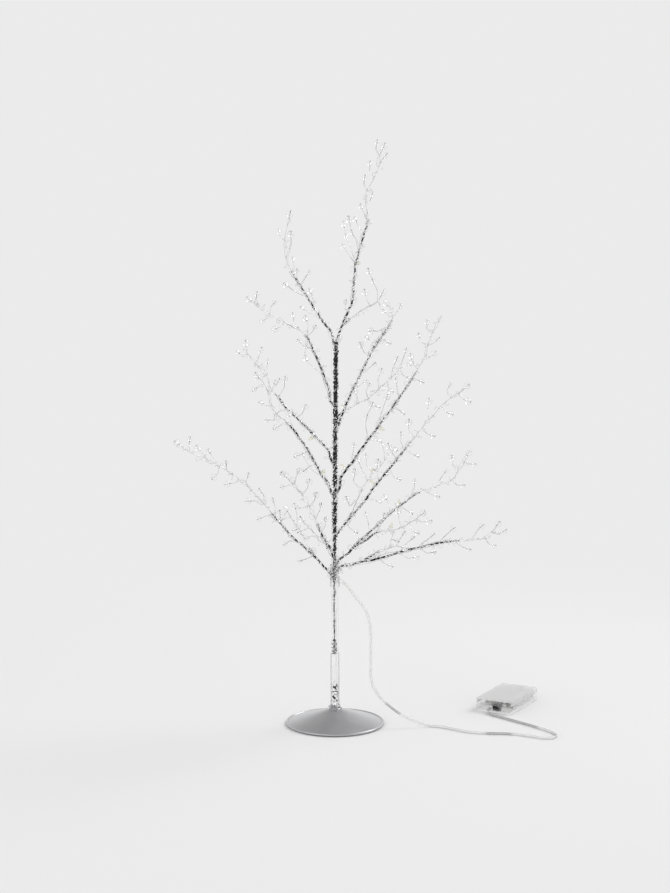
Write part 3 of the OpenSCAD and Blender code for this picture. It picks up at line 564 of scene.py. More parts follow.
def flaps(shape, line, size, every, reach, seed, number):
    """Slivers of foil that stand off a wrapped wire"""
    t, n, b = frames_along(line)
    draw = random.Random(seed)
    step = np.linalg.norm(line[1] - line[0])
    u = np.linspace(0, 1, 5)[:, None]
    i = 2.0
    while i < len(line) - 3:
        k = int(i)
        a = draw.uniform(0, TURN)
        out = math.cos(a) * n[k] + math.sin(a) * b[k]
        tip = draw.uniform(*FLAP_REACHES) * reach
        lean = draw.uniform(-1, 1)
        path = line[k] + out * (size[k] * FLAP_ROOT + tip * u) + t[k] * tip * (lean * u + FLAP_CURL * u ** 2)
        side = unit(np.cross(out, t[k]) + FLAP_TWIST * t[k] * draw.uniform(-1, 1))
        across = np.repeat(side[None], len(u), 0)
        shape.ribbon(path, across, np.linspace(*FLAP_MM, len(u)) * MM, FLAP_T, number)
        i += draw.uniform(*FLAP_GAPS) * every / step


# A fleck: shares of the size and of the spacing, how upright it tends to lie, and its taper
FLECK_LONG = (1, 2.4)
FLECK_WIDE = (0.22, 0.45)
FLECK_GAPS = (0.4, 1.6)
FLECK_UPRIGHT = 1.4
FLECK_TAPER = np.array([0.25, 0.9, 1, 0.8, 0.2])


def flecks(shape, line, out, every, size, seed, number):
    """Crumpled bits of foil about a line, between the two distances out"""
    draw = random.Random(seed)
    n, b = frames_along(line)[1:]
    step = np.linalg.norm(line[1] - line[0])
    u = np.linspace(-0.5, 0.5, len(FLECK_TAPER))[:, None]
    i = 0.0
    while i < len(line):
        k = int(i)
        a, far = draw.uniform(0, TURN), draw.uniform(*out)
        way = unit(np.array([draw.gauss(0, 1), draw.gauss(0, 1), draw.gauss(0, FLECK_UPRIGHT)]))
        long, wide = size * draw.uniform(*FLECK_LONG), size * draw.uniform(*FLECK_WIDE)
        middle = line[k] + (math.cos(a) * n[k] + math.sin(a) * b[k]) * far
        shape.wire(middle + way * long * u, wide * FLECK_TAPER, number, sides=4)
        i += draw.uniform(*FLECK_GAPS) * every / step


# Branches: a stem's sideways crumpling, the length of one crumple and where it has grown to its full size
KINK = 0.55 * MM
KINK_SPAN = 6 * MM
KINK_GROWN = 9 * MM
# The core's mean thickness, its patches, lumps and swellings, and the length in which the wrap runs out
CORE_MEAN = 0.8
CORE_PATCHES = (1.4, 24 * MM)
CORE_LEAST, CORE_MOST = 0.4, 1.15
CORE_LUMPS = (0.4, 1.9 * MM)
CORE_SWELLS = (0.2, 7 * MM)
FADE_SPAN = 12 * MM
FADE_LEAST = 0.35
# The bare wires start this far inside the wrap, and a part with no more points than this is left out
OVERLAP = 6 * MM
FEWEST = 4
# The strips' lays and how far apart they start, then the flaps' spacing and reach
STEM_LAYS = (6.5 * MM, 11 * MM)
STEM_APART = 2.6
STEM_FLAPS = (2.6 * MM, 1.3 * MM)
# Flecks on a stem: the two distances out, spacing, size, what is added to the seed, and material
STEM_FLECKS = (((0.9 * MM, 1.7 * MM), 2.4 * MM, 1.5 * MM, 40, FOIL),
               ((0.3 * MM, 1.2 * MM), 2.6 * MM, 1.2 * MM, 41, CORE))
# The loose wire: its distance out and the mean share of it, its turn from stem to stem, and its drift
# and sway, each as an amount and a length
LOOSE_OUT = 1.9 * MM
LOOSE_MEAN = 0.9
LOOSE_TURN = 1.7
LOOSE_DRIFT = (2.5, 40 * MM)
LOOSE_SWAY = (0.9, 12 * MM)
# The second wire and the bare wires: least distance from the stem in mm, and what is added at most
SECOND_MM = (0.5, 3.4)
SECOND_SPAN = 21 * MM
BARE_MM = (0.26, 3.4)
BARE_SPAN = 13 * MM
BARE_LAY = 45 * MM
BARE_DRIFT = (2, 25 * MM)


def wrapped_stem(shape, middles, radii, wrapped, black, seed):
    """A stem with its foil wrap on the given share of it, then bare twisted wires to the tip"""
    path, at, s = curve_through(middles, STEP)
    radius = np.interp(at, np.arange(len(radii)), radii)
    n, b = frames_along(path)[1:]
    grown = KINK * np.clip(s / KINK_GROWN, 0, 1)
    across = (grown * wander(s, seed + 30, KINK_SPAN))[:, None]
    deep = (grown * wander(s, seed + 31, KINK_SPAN))[:, None]
    path = path + n * across + b * deep
    cut = wrapped * s[-1]
    inner = s <= cut
    if inner.sum() > FEWEST:
        foil_wrap(shape, path[inner], radius[inner], s[inner], cut, black, seed)
    outer = s >= cut - OVERLAP
    if outer.sum() > FEWEST:
        bare_wires(shape, path[outer], s[outer], seed)


def foil_wrap(shape, core, size, run, cut, black, seed):
    """A black core with foil tinsel and two thin wires about it; black is its share of the size"""
    fade = np.clip((cut - run) / FADE_SPAN, FADE_LEAST, 1)
    dark = np.clip(CORE_MEAN + swing(run, seed + 2, *CORE_PATCHES), CORE_LEAST, CORE_MOST)
    lump = 1 + swing(run, seed, *CORE_LUMPS) + swing(run, seed + 1, *CORE_SWELLS)
    shape.wire(core, size * black * lump * fade * dark, CORE, sides=8)
    for k, lay in enumerate(STEM_LAYS):
        phase = seed + STEM_APART * k
        strip_along(shape, core, run, size * fade, lay, phase, seed + 5 * k + 3, thin=0.12, broad=0.9)
    flaps(shape, core, size, *STEM_FLAPS, seed, FOIL)
    for out, every, large, more, number in STEM_FLECKS:
        flecks(shape, core, out, every, large, seed + more, number)
    along(shape, core, run, seed + 9)
    beside(shape, core, run, seed + 10)


def bare_wires(shape, core, run, seed):
    """Two wires twisted about each other, which part here and there"""
    least, more = BARE_MM
    n, b = frames_along(core)[1:]
    apart = (least + more * np.maximum(wander(run, seed + 11, BARE_SPAN), 0)) * MM
    drift = swing(run, seed + 15, *BARE_DRIFT)
    for k in range(2):
        turn = math.pi * k + TURN * run / BARE_LAY + drift
        shape.wire(core + about(n, b, turn) * apart[:, None], BARE_R, WIRE)


def along(shape, line, run, seed):
    """A thin wire that runs loosely round a line"""
    n, b = frames_along(line)[1:]
    a = LOOSE_TURN * seed + swing(run, seed, *LOOSE_DRIFT)
    r = LOOSE_OUT * (LOOSE_MEAN + swing(run, seed + 1, *LOOSE_SWAY))
    shape.wire(line + about(n, b, a) * r[:, None], LOOSE_R, WIRE)


def beside(shape, line, run, seed):
    """A second wire that leaves the stem and comes back to it, in the plane in which the branch is spread"""
    side = unit(np.cross(unit(np.gradient(line, axis=0)), (0, 1, 0))) * (-1) ** seed
    least, more = SECOND_MM
    out = (least + more * np.abs(wander(run, seed, SECOND_SPAN))) * MM
    shape.wire(line + side * out[:, None], SECOND_R, WIRE, sides=6)


# A twig: its step, the place from which its wires lie close, how close, how far they part before it, and
# how that varies along it
TWIG_STEP = 0.5 * MM
TWIG_FREE = 2.2
TWIG_CLOSE = 0.23 * MM
TWIG_PARTS_MM = (0.35, 1.5)
TWIG_MEAN = 0.8
TWIG_SWAY = (0.5, 5 * MM)
# How far its wires are turned from twig to twig, and once more at its root, in radians
TWIG_TURN = 1.3
TWIG_ROOT_TURN = 1.6


def twig_wires(shape, middles, seed):
    """Two thin wires that part and meet again, and run through the bead side by side"""
    path, at, s = curve_through(middles, TWIG_STEP)
    path, at, s = path[:-2], at[:-2], s[:-2]
    n, b = frames_along(path)[1:]
    free = np.clip(at / TWIG_FREE, 0, 1)
    broad = random.Random(seed).uniform(*TWIG_PARTS_MM) * MM
    part = TWIG_CLOSE + broad * np.sin(math.pi * free) ** 2 * (TWIG_MEAN + swing(s, seed, *TWIG_SWAY))
    side = about(n, b, seed * TWIG_TURN + TWIG_ROOT_TURN * (1 - free))
    for k in (-1, 1):
        shape.wire(path + k * side * part[:, None], TWIG_R, WIRE)


# A loop's points, and how full its outline is
LOOP_POINTS = 15
LOOP_ROUND = 0.7
# A curl: mm to the first and to the next, and left free at the tip; its height, span and bulge in mm; its
# lap as a share of the span, and its tilt
CURL_FIRST = (8, 18)
CURL_NEXT = (3, 10)
CURL_HIGH = (2, 6)
CURL_SPAN = (2, 7)
CURL_BULGE = (-2, 2)
CURL_LAP = (-0.5, 0.9)
CURL_TILT = 0.9
CURL_END = 8


def curls(shape, middles, radii, seed):
    """Small loops of bare wire that stand off a stem"""
    path, at = curve_through(middles, MM)[:2]
    radius = np.interp(at, np.arange(len(radii)), radii)
    t, n, b = frames_along(path)
    draw = random.Random(seed + 77)
    u = np.linspace(0, 1, LOOP_POINTS)
    i = int(draw.uniform(*CURL_FIRST))
    while i < len(path) - CURL_END:
        a = draw.uniform(0, TURN)
        out = math.cos(a) * n[i] + math.sin(a) * b[i]
        high, span = draw.uniform(*CURL_HIGH) * MM, draw.uniform(*CURL_SPAN) * MM
        lap = draw.uniform(*CURL_LAP)
        twist = unit(t[i] + CURL_TILT * draw.uniform(-1, 1) * np.cross(t[i], out))
        bulge = np.cross(out, twist) * draw.uniform(*CURL_BULGE) * MM
        rise = out * (radius[i] * 0.5) + out[None] * (high * np.sin(math.pi * u) ** LOOP_ROUND)[:, None]
        over = (span * (u - 0.5) + lap * span * np.sin(TURN * u))[:, None]
        loop = path[i] + rise + twist * over + bulge * (np.sin(math.pi * u) ** 2)[:, None]
        shape.wire(loop, CURL_R, WIRE)
        i += int(draw.uniform(*CURL_NEXT))


# Share of a stem and of a fork that is wrapped in foil, and the core's share of its thickness
WRAPPED = {"right_leader": 0.63, "left_branch_5": 0.5, "left_branch_2": 0.36, "left_branch_1": 0.43,
           "right_branch_6": 0.85, "right_branch_5": 0.12, "right_branch_4": 0.7, "right_branch_2": 0.6,
           "right_branch_1": 0.72}
WRAPPED_ELSEWHERE = 0.6
WRAPPED_FORK = {"right_branch_1": 0.4, "right_branch_2": 0.4}
WRAPPED_FORK_ELSEWHERE = 0.15
BLACK_CORE = {"right_branch_6": 0.4}
BLACK_CORE_ELSEWHERE = 0.68
# A hinge this near the trunk's axis belongs to a leader
LEADER_OUT = 3 * MM
# Where a stem leaves the trunk: shares of the hinge's distance from the axis and drops below it in mm, then
# shares of the stem's radius
LEADER_ROOT = ((0, 9), (0.5, 4))
BRANCH_ROOT = ((0.36, 5), (0.68, 3))
ROOT_TAPER = (0.8, 0.9)


def rooted(middles, radii):
    """A main stem with its first stretch, which leaves the trunk just below the hinge"""
    hinge = middles[0]
    spots = LEADER_ROOT if np.linalg.norm(hinge[:2]) < LEADER_OUT else BRANCH_ROOT
    first = [hinge * (share, share, 1) - (0, 0, drop * MM) for share, drop in spots]
    return np.vstack([first, middles]), np.append([share * radii[0] for share in ROOT_TAPER], radii)


def make_branch(branch, number, looks):
    stems, twigs = wires_of(branch)
    black = BLACK_CORE.get(branch, BLACK_CORE_ELSEWHERE)
    shape = Shape()
    for k, (middles, radii) in enumerate(stems):
        share = WRAPPED_FORK.get(branch, WRAPPED_FORK_ELSEWHERE)
        if k == 0:
            middles, radii = rooted(middles, radii)
            share = WRAPPED.get(branch, WRAPPED_ELSEWHERE)
        seed = 20 * number + 5 * k
        wrapped_stem(shape, middles, radii, share, black, seed)
        curls(shape, middles, radii, seed)
    for k, middles in enumerate(twigs):
        twig_wires(shape, middles, 31 * number + k)
    shape.piece(branch + "_tinsel", looks, branch, "foil", [branch + "_wires"])


# Trunk: it starts in the sleeve's top, is pale up to the lowest branches and black from well above them
TRUNK_FOOT = 75 * MM
PALE_TO = 150 * MM
SPECKLED_TO = 194 * MM
# Height and the core's radius in mm
TRUNK_CORE = ((TRUNK_FOOT + 6 * MM, 0.8), (TRUNK_FOOT + 14 * MM, 0.48), (PALE_TO - 4 * MM, 0.5),
              (PALE_TO, 1.0), (SPECKLED_TO, 1.5), (SPECKLED_TO + 20 * MM, 2.05))
CORE_FINEST = 0.12 * MM
# Its lumps on the pale part and on the black one with their length, and its swellings
CORE_ROUGH = (1.7, 0.7)
CORE_ROUGH_SPAN = 1.5 * MM
TRUNK_SWELLS = (0.2, 7 * MM)
# How far the trunk leans to the right at PALE_TO, at mid height and at its top
MID_HEIGHT = 0.3
LEANS = (-0.6 * MM, 0.2 * MM, 1.1 * MM)
# How it sways at the top and what is added on the pale part, which ends within PALE_FADE above PALE_TO
SWAY = 0.2 * MM
PALE_SWAY = 0.5 * MM
SWAY_SPAN = 7 * MM
PALE_FADE = 6 * MM
# Breadths of the black part's strips at three heights, then the strips' lays and how far apart they start
BUSY_AT = (SPECKLED_TO, 0.32, 0.34)
BUSY = (0.36, 0.26, 0.12)
BLACK_LAYS = (19 * MM, 33 * MM, 14 * MM)
PALE_LAYS = (9 * MM, 14 * MM)
TRUNK_APART = 1.7
# How far the black and the pale part's strips run past PALE_TO, and how far out they lie on the core
LAP = 3 * MM
BLACK_OUT = 0.3 * MM
PALE_OUT = 0.4 * MM
# Spacing, reach, seed and material of the flaps on the black part and on the pale one
BLACK_FLAPS = ((2 * MM, 1.8 * MM, 5, FOIL),)
PALE_FLAPS = ((2.2 * MM, 2.2 * MM, 6, FOIL), (1.2 * MM, 1.7 * MM, 7, CORE))
# From, to, nearest and farthest from the middle, spacing and size, all in mm, then material
TRUNK_FLECKS = (
    (75, 90, 0, 3, 0.3, 1.2, CORE), (75, 90, 0, 3.2, 0.5, 1.2, FOIL), (90, 152, 0, 1.6, 1.5, 0.9, CORE),
    (90, 152, 0.5, 3, 1.2, 0.9, FOIL), (150, 176, 0, 4.5, 0.4, 1.1, CORE),
    (150, 176, 1, 5.5, 0.3, 1.1, FOIL), (176, 300, 2, 3.3, 0.8, 1.2, FOIL),
    (300, 391, 2.1, 3, 1.2, 1.2, FOIL), (176, 391, 1.4, 2.6, 0.7, 1.2, CORE))
# The thin wires of the pale part: their number and distance out, and how they turn and sway
STRAGGLES = 3
STRAGGLE_OUT = 2.9 * MM
STRAGGLE_TURN = 2.1
STRAGGLE_DRIFT = (2.5, 30 * MM)
STRAGGLE_MEAN = 0.75
STRAGGLE_SWAY = (0.4, 8 * MM)


def make_trunk(looks, top):
    """The trunk's black core with its foil, from the sleeve to the leaders"""
    z = np.arange(TRUNK_FOOT, top, STEP)
    pale = np.clip((PALE_TO + PALE_FADE - z) / PALE_FADE, 0, 1)
    lean = np.interp(z, (PALE_TO, MID_HEIGHT, top), LEANS)
    sway = np.column_stack([wander(z, 1, SWAY_SPAN), wander(z, 2, SWAY_SPAN), 0 * z])
    path = np.column_stack([lean, 0 * z, z]) + sway * (SWAY + PALE_SWAY * pale)[:, None]
    heights, core_mm = zip(*TRUNK_CORE)
    core = np.interp(z, heights, np.array(core_mm) * MM)
    shape = Shape()
    rough = np.interp(z, (PALE_TO, SPECKLED_TO), CORE_ROUGH)
    thick = core * (1 + rough * wander(z, 4, CORE_ROUGH_SPAN) + swing(z, 5, *TRUNK_SWELLS))
    shape.wire(path, np.maximum(thick, CORE_FINEST), CORE, sides=12)
    high = z > PALE_TO - LAP
    busy = np.interp(z[high], BUSY_AT, BUSY)
    for k, lay in enumerate(BLACK_LAYS):
        size, phase = core[high] + BLACK_OUT, TRUNK_APART * k
        strip_along(shape, path[high], z[high], size, lay, phase, 40 + 6 * k, thin=0.03, broad=busy)
    low = z < PALE_TO + LAP
    for k, lay in enumerate(PALE_LAYS):
        size, phase = core[low] + PALE_OUT, TRUNK_APART * k
        strip_along(shape, path[low], z[low], size, lay, phase, 80 + 6 * k, thin=0.1, broad=0.5)
    for row in BLACK_FLAPS:
        flaps(shape, path[high], core[high], *row)
    for row in PALE_FLAPS:
        flaps(shape, path[low], core[low], *row)
    for start, end, least, most, every, size, number in TRUNK_FLECKS:
        here = path[(z > start * MM) & (z < end * MM)]
        flecks(shape, here, (least * MM, most * MM), every * MM, size * MM, start + number, number)
    for k in range(STRAGGLES):
        straggle(shape, z[low], 12 + k)
    for number, branch in enumerate(BRANCHES):
        tie(shape, np.array(JOINT_OF[branch]["pos_m"]), number)
    shape.piece("trunk_tinsel", looks, STAND, "foil", ["trunk_wrap", "trunk_rod"])


def straggle(shape, z, seed):
    """A thin wire that wanders up the trunk under the film"""
    a = STRAGGLE_TURN * seed + swing(z, seed, *STRAGGLE_DRIFT)
    r = STRAGGLE_OUT * (STRAGGLE_MEAN + swing(z, seed + 1, *STRAGGLE_SWAY))
    shape.wire(np.column_stack([r * np.cos(a), r * np.sin(a), z]), STRAGGLE_R, WIRE)


# A tie: its turns and points, its radius in mm with its unevenness, how far from the hinge it starts and
# climbs in mm, and its waves; unevenness and waves are an amount in mm and a share of the tie's length
TIE_TURNS = 2.2
TIE_POINTS = 40
TIE_MM = 2.9
TIE_ROUND_MM = (0.9, 0.2)
TIE_START_MM = -8
TIE_CLIMB_MM = 5
TIE_WAVES_MM = (2.5, 0.15)


def tie(shape, hinge, seed):
    """Thin wire bound round the trunk just below a branch's root"""
    u = np.linspace(0, 1, TIE_POINTS)
    a = math.atan2(hinge[1], hinge[0]) + TURN * TIE_TURNS * u
    r = (TIE_MM + swing(u, seed + 60, *TIE_ROUND_MM)) * MM
    h = hinge[2] + (TIE_START_MM + TIE_CLIMB_MM * u + swing(u, seed + 61, *TIE_WAVES_MM)) * MM
    shape.wire(np.column_stack([r * np.cos(a), r * np.sin(a), h]), CURL_R, WIRE)


# The knot where the lowest branches leave the trunk: its heights, and how far up it is the densest
KNOT_Z = (152 * MM, 172 * MM)
KNOT_DENSE = 6 * MM
KNOT_LOOPS = 46
# A loop's height, breadth and distance out in mm, how far it laps over, and its lean and rise
KNOT_HIGH = (2, 5.5)
KNOT_BROAD = (1.5, 4)
KNOT_OUT = 3
KNOT_LAP = 0.9
KNOT_LEAN = (-0.8, 0.8)
KNOT_RISE = 3


def make_knot(looks):
    """Loops of loose wire where the lowest branches leave the trunk"""
    knot = Shape()
    for k in range(KNOT_LOOPS):
        knot_loop(knot, k)
    knot.piece("trunk_knot", looks, STAND, "foil")


def knot_loop(shape, seed):
    """One loop of the knot"""
    draw = random.Random(seed + 400)
    a, h = draw.uniform(0, TURN), draw.triangular(*KNOT_Z, KNOT_Z[0] + KNOT_DENSE)
    out = np.array([math.cos(a), math.sin(a), 0])
    side = np.array([-out[1], out[0], 0])
    high, broad = draw.uniform(*KNOT_HIGH) * MM, draw.uniform(*KNOT_BROAD) * MM
    lean = draw.uniform(*KNOT_LEAN)
    u = np.linspace(0, 1, LOOP_POINTS)[:, None]
    way = unit(side * math.cos(lean * 2) + np.array([0, 0, math.sin(lean * 2)]))
    loop = out * KNOT_OUT * MM + np.array([0, 0, h]) + out * high * np.sin(math.pi * u) ** LOOP_ROUND
    loop = loop + way * (broad * (u - 0.5) + KNOT_LAP * broad * np.sin(TURN * u))
    loop = loop + np.array([0, 0, lean * high]) * u * (1 - u) * KNOT_RISE
    shape.wire(loop, LOOSE_R, WIRE if seed % 3 else FOIL)


# The film: its points round and the height of a ring; its mean radius and its folds' depth in mm; how
# close the folds stand round it, and their height; and the share and the fineness of its small folds
FILM_SIDES = 20
FILM_STEP = 1.2 * MM
FILM_MM = 3.72
FILM_FOLD_MM = 0.2
FILM_FOLDS = 1.3
FILM_FOLD_H = 7 * MM
FILM_SMALL = 0.5
FILM_FINER = 2.3


def rumpled(sides, heights, radius_at):
    """Rings about the trunk's axis; radius_at takes a spot's angle and height and gives its radius"""
    rings = []
    for h in heights:
        ring = []
        for a in TURN * np.arange(sides) / sides:
            r = radius_at(a, h)
            ring.append((r * math.cos(a), r * math.sin(a), h))
        rings.append(ring)
    return rings


def make_film(film, top):
    """Clear film shrunk on the whole trunk above the sleeve"""
    def radius_at(a, h):
        spot = Vector((math.cos(a) * FILM_FOLDS, math.sin(a) * FILM_FOLDS, h / FILM_FOLD_H))
        fold = noise.noise(spot) + FILM_SMALL * noise.noise(spot * FILM_FINER)
        return (FILM_MM + FILM_FOLD_MM * fold) * MM

    skin = Shape()
    skin.rings(rumpled(FILM_SIDES, np.arange(TRUNK_FOOT, top, FILM_STEP), radius_at))
    skin.piece("trunk_film", [film], STAND, "foil")


# The cuff: its inner radius, its points round and its rings; how close its folds stand round it, their
# height, and their depth as a share of the cuff's thickness
CUFF_IN = 3.5 * MM
CUFF_SIDES = 28
CUFF_RINGS = 26
CUFF_FOLDS = 2.2
CUFF_FOLD_H = 3 * MM
CUFF_FOLD = 0.45
# Torn bits, on the collar and at the cuff's top: from and to past that top, with the points of their line,
# how far from the outer radius they lie, their spacing and their size
COLLAR_BITS = (-4.5 * MM, -0.5 * MM, 14)
COLLAR_OUT = (-1.8 * MM, 0.6 * MM)
COLLAR_EVERY = ((CORE, 0.16 * MM), (FOIL, 0.08 * MM))
COLLAR_SIZE = 0.9 * MM
CUFF_BITS = (-3 * MM, 4 * MM, 12)
CUFF_BITS_IN = CUFF_IN - 1 * MM
CUFF_BITS_OUT = -0.3 * MM
CUFF_EVERY = 0.35 * MM
CUFF_SIZE = 0.8 * MM


def upright(height, start, end, count):
    """Points on the trunk's axis, from start to end past a height"""
    return np.column_stack([np.zeros((count, 2)), np.linspace(height + start, height + end, count)])


def make_cuff(looks):
    """Foil gathered round the foot of the post, and the torn bits at its two ends"""
    low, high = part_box("foil_cuff")
    outer = high[0]

    def radius_at(a, h):
        spot = Vector((math.cos(a) * CUFF_FOLDS, math.sin(a) * CUFF_FOLDS, h / CUFF_FOLD_H))
        fold = max(-1, min(1, 2 * noise.noise(spot)))
        return (CUFF_IN + outer) / 2 + (outer - CUFF_IN) * CUFF_FOLD * fold

    shape = Shape()
    shape.rings(rumpled(CUFF_SIDES, np.linspace(low[2], high[2], CUFF_RINGS), radius_at))
    shape.piece("cuff_foil", [cuff_foil()], STAND, "foil", ["foil_cuff"], smooth=False)

    skirt = Shape()
    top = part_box("foot_collar")[1]
    out = [top[0] + more for more in COLLAR_OUT]
    for number, every in COLLAR_EVERY:
        flecks(skirt, upright(top[2], *COLLAR_BITS), out, every, COLLAR_SIZE, 90 + number, number)
    out = (CUFF_BITS_IN, outer + CUFF_BITS_OUT)
    for number in (CORE, FOIL):
        flecks(skirt, upright(high[2], *CUFF_BITS), out, CUFF_EVERY, CUFF_SIZE, 95 + number, number)
    skirt.piece("cuff_skirt", looks, STAND, "foil")


# Lead
# Its route in mm, from the trunk to the front of the battery box
LEAD_MM = [
    (8, -1, 150), (12, -2, 147), (17, -3, 141), (22, -4, 134), (28, -5, 127), (33, -6, 118),
    (36, -7, 107), (37, -8, 94), (37, -9, 80), (37, -10, 66), (37, -10, 54), (39, -11, 44),
    (44, -12, 35), (51, -13, 27), (58, -14, 21), (66, -14, 15), (75, -14, 10), (86, -14, 5),
    (98, -14, 2), (110, -17, 1.4), (122, -25, 1.4), (134, -34, 1.4), (147, -39, 1.4),
    (160, -41, 1.4), (174, -42, 1.4), (187, -45, 1.4), (199, -51, 1.4), (209, -57, 1.4),
    (217, -59, 1.4), (223, -55, 1.4), (225, -48, 1.4), (223, -40, 1.4), (218, -31, 1.4),
    (211, -22, 1.4), (202, -11, 1.4), (192, 0, 1.4), (182, 11, 1.4), (172, 22, 1.4), (166, 28, 1.8),
    (162.3, 33, 2.4), (161.2, 37.5, 3), (162, 42, 3.4), (164.5, 46.5, 3.4)]
LEAD_STEP = 1.2 * MM
# How it leans to and fro, as an angle and a length
LEAD_LEAN = (0.35, 40 * MM)
# Half the distance between its cores, the radius of its jacket about each, and a core's radius
LEAD_APART = 0.65 * MM
LEAD_WALL = 0.7 * MM
LEAD_CORE = 0.36 * MM
LEAD_ARC = 0.42 * math.pi
# It hangs above the first height and rests below the second, set lower, with a hair's gap to the floor
HANGS_ABOVE = 5 * MM
RESTS_BELOW = 3 * MM
SET_LOWER = 0.5 * MM
FLOOR_GAP = 0.03 * MM


def make_lead(jacket, core):
    """The flat twin lead: a figure of two half rounds, with a stranded core in each"""
    path, _, s = curve_through(np.array(LEAD_MM) * MM, LEAD_STEP)
    t = unit(np.gradient(path, axis=0))
    level = unit(np.cross(t, (0, 0, 1)))
    hangs = (path[:, 2] > HANGS_ABOVE)[:, None]
    up = np.where(hangs, unit(np.cross(t, (0, 1, 0))), np.cross(level, t))
    lean = swing(s, 3, *LEAD_LEAN)
    wide = about(up, np.cross(t, up), lean)
    floor = LEAD_WALL + LEAD_APART * np.abs(wide[:, 2])
    resting = path[:, 2] < RESTS_BELOW
    path[:, 2] = np.maximum(path[:, 2] - SET_LOWER * resting, floor + FLOOR_GAP)
    deep = np.cross(t, wide)
    half = np.linspace(-LEAD_ARC, LEAD_ARC, 7)
    section = [(LEAD_APART + LEAD_WALL * math.cos(a), LEAD_WALL * math.sin(a)) for a in half]
    section += [(-x, -y) for x, y in section]
    rings = [[p + w * x + d * y for x, y in section] for p, w, d in zip(path, wide, deep)]
    sheath, cores = Shape(), Shape()
    sheath.rings(rings)
    for k in (-1, 1):
        cores.wire(path[1:-1] + k * wide[1:-1] * LEAD_APART, LEAD_CORE, 0, sides=6)
    lead = sheath.piece("lead_jacket", [jacket], STAND, "lead_pvc", ["lead"])
    wires = cores.piece("lead_cores", [core], STAND, "lead_pvc")


# Room: the paper's tone as the camera sees it, and the floor's own near the object
PAPER = (0.831, 0.831, 0.831, 1)
FLOOR_WHITE = (0.85, 0.85, 0.85, 1)
FLOOR_R = 12
FLOOR_SIDES = 96
# Between these distances from the middle the floor's shading gives way to the paper's tone
FLOOR_NEAR = 0.3
FLOOR_FAR = 0.9
# Strength of the light from the walls and from the ceiling, and where the ceiling starts
WALLS = 1.3
CEILING = 0.5
CEILING_FROM = 0.8
# Name, place, size and power of each lamp, and the spot at which they aim
LAMPS = (("key", (2.7, 1.6, 3.2), 2.1, 78), ("fill", (-1.4, -1.1, 1.7), 2.2, 9))
LAMPS_AIM = (0, 0, 0.15)


def seen_directly(tree, others=("Is Glossy Ray", "Is Transmission Ray")):
    """1 for camera rays and the other kinds that are named"""
    path = tree.nodes.new("ShaderNodeLightPath")
    total = path.outputs["Is Camera Ray"]
    for name in others:
        most = tree.nodes.new("ShaderNodeMath")
        most.operation = "MAXIMUM"
        tree.links.new(total, most.inputs[0])
        tree.links.new(path.outputs[name], most.inputs[1])
        total = most.outputs[0]
    return total


def make_floor():
    """A round of paper that takes the shadow near the object and fades into the backdrop"""
    shape = bpy.data.meshes.new("floor")
    around = [TURN * i / FLOOR_SIDES for i in range(FLOOR_SIDES)]
    ring = [(FLOOR_R * math.cos(a), FLOOR_R * math.sin(a), 0) for a in around]
    shape.from_pydata(ring, [], [tuple(range(FLOOR_SIDES))])
    floor = bpy.data.objects.new("floor", shape)
    bpy.context.scene.collection.objects.link(floor)
    made = new_material("paper_floor", roughness=0.9, specular_ior_level=0.1, base_color=FLOOR_WHITE)
    tree = made.node_tree
    glow = tree.nodes.new("ShaderNodeEmission")
    glow.inputs["Color"].default_value = PAPER
    mix = tree.nodes.new("ShaderNodeMixShader")
    place = tree.nodes.new("ShaderNodeTexCoord")
    reach = tree.nodes.new("ShaderNodeVectorMath")
    reach.operation = "LENGTH"
    fade = tree.nodes.new("ShaderNodeMapRange")
    fade.interpolation_type = "SMOOTHSTEP"
    fade.inputs["From Min"].default_value = FLOOR_NEAR
    fade.inputs["From Max"].default_value = FLOOR_FAR
    seen = tree.nodes.new("ShaderNodeMath")
    seen.operation = "MULTIPLY"
    tree.links.new(place.outputs["Object"], reach.inputs[0])
    tree.links.new(reach.outputs["Value"], fade.inputs["Value"])
    tree.links.new(fade.outputs["Result"], seen.inputs[0])
    tree.links.new(seen_directly(tree), seen.inputs[1])
    tree.links.new(seen.outputs[0], mix.inputs["Fac"])
    tree.links.new(shader_of(made).outputs[0], mix.inputs[1])
    tree.links.new(glow.outputs[0], mix.inputs[2])
    tree.links.new(mix.outputs[0], tree.nodes["Material Output"].inputs["Surface"])
    shape.materials.append(made)


def make_world():
    """Soft light from all round, with the paper's tone where the camera looks past the floor"""
    world = bpy.data.worlds.new("room")
    world.use_nodes = True
    bpy.context.scene.world = world
    tree = world.node_tree
    soft = tree.nodes["Background"]
    way = tree.nodes.new("ShaderNodeTexCoord")
    split = tree.nodes.new("ShaderNodeSeparateXYZ")
    climb = tree.nodes.new("ShaderNodeMapRange")
    climb.interpolation_type = "SMOOTHSTEP"
    climb.inputs["From Max"].default_value = CEILING_FROM
    climb.inputs["To Min"].default_value = WALLS
    climb.inputs["To Max"].default_value = CEILING
    tree.links.new(way.outputs["Generated"], split.inputs[0])
    tree.links.new(split.outputs["Z"], climb.inputs["Value"])
    tree.links.new(climb.outputs["Result"], soft.inputs["Strength"])
    soft.inputs["Color"].default_value = (1, 1, 1, 1)
    paper = tree.nodes.new("ShaderNodeBackground")
    paper.inputs["Color"].default_value = PAPER
    mix = tree.nodes.new("ShaderNodeMixShader")
    tree.links.new(seen_directly(tree, ("Is Transmission Ray",)), mix.inputs["Fac"])
    tree.links.new(soft.outputs[0], mix.inputs[1])
    tree.links.new(paper.outputs[0], mix.inputs[2])
    tree.links.new(mix.outputs[0], tree.nodes["World Output"].inputs["Surface"])


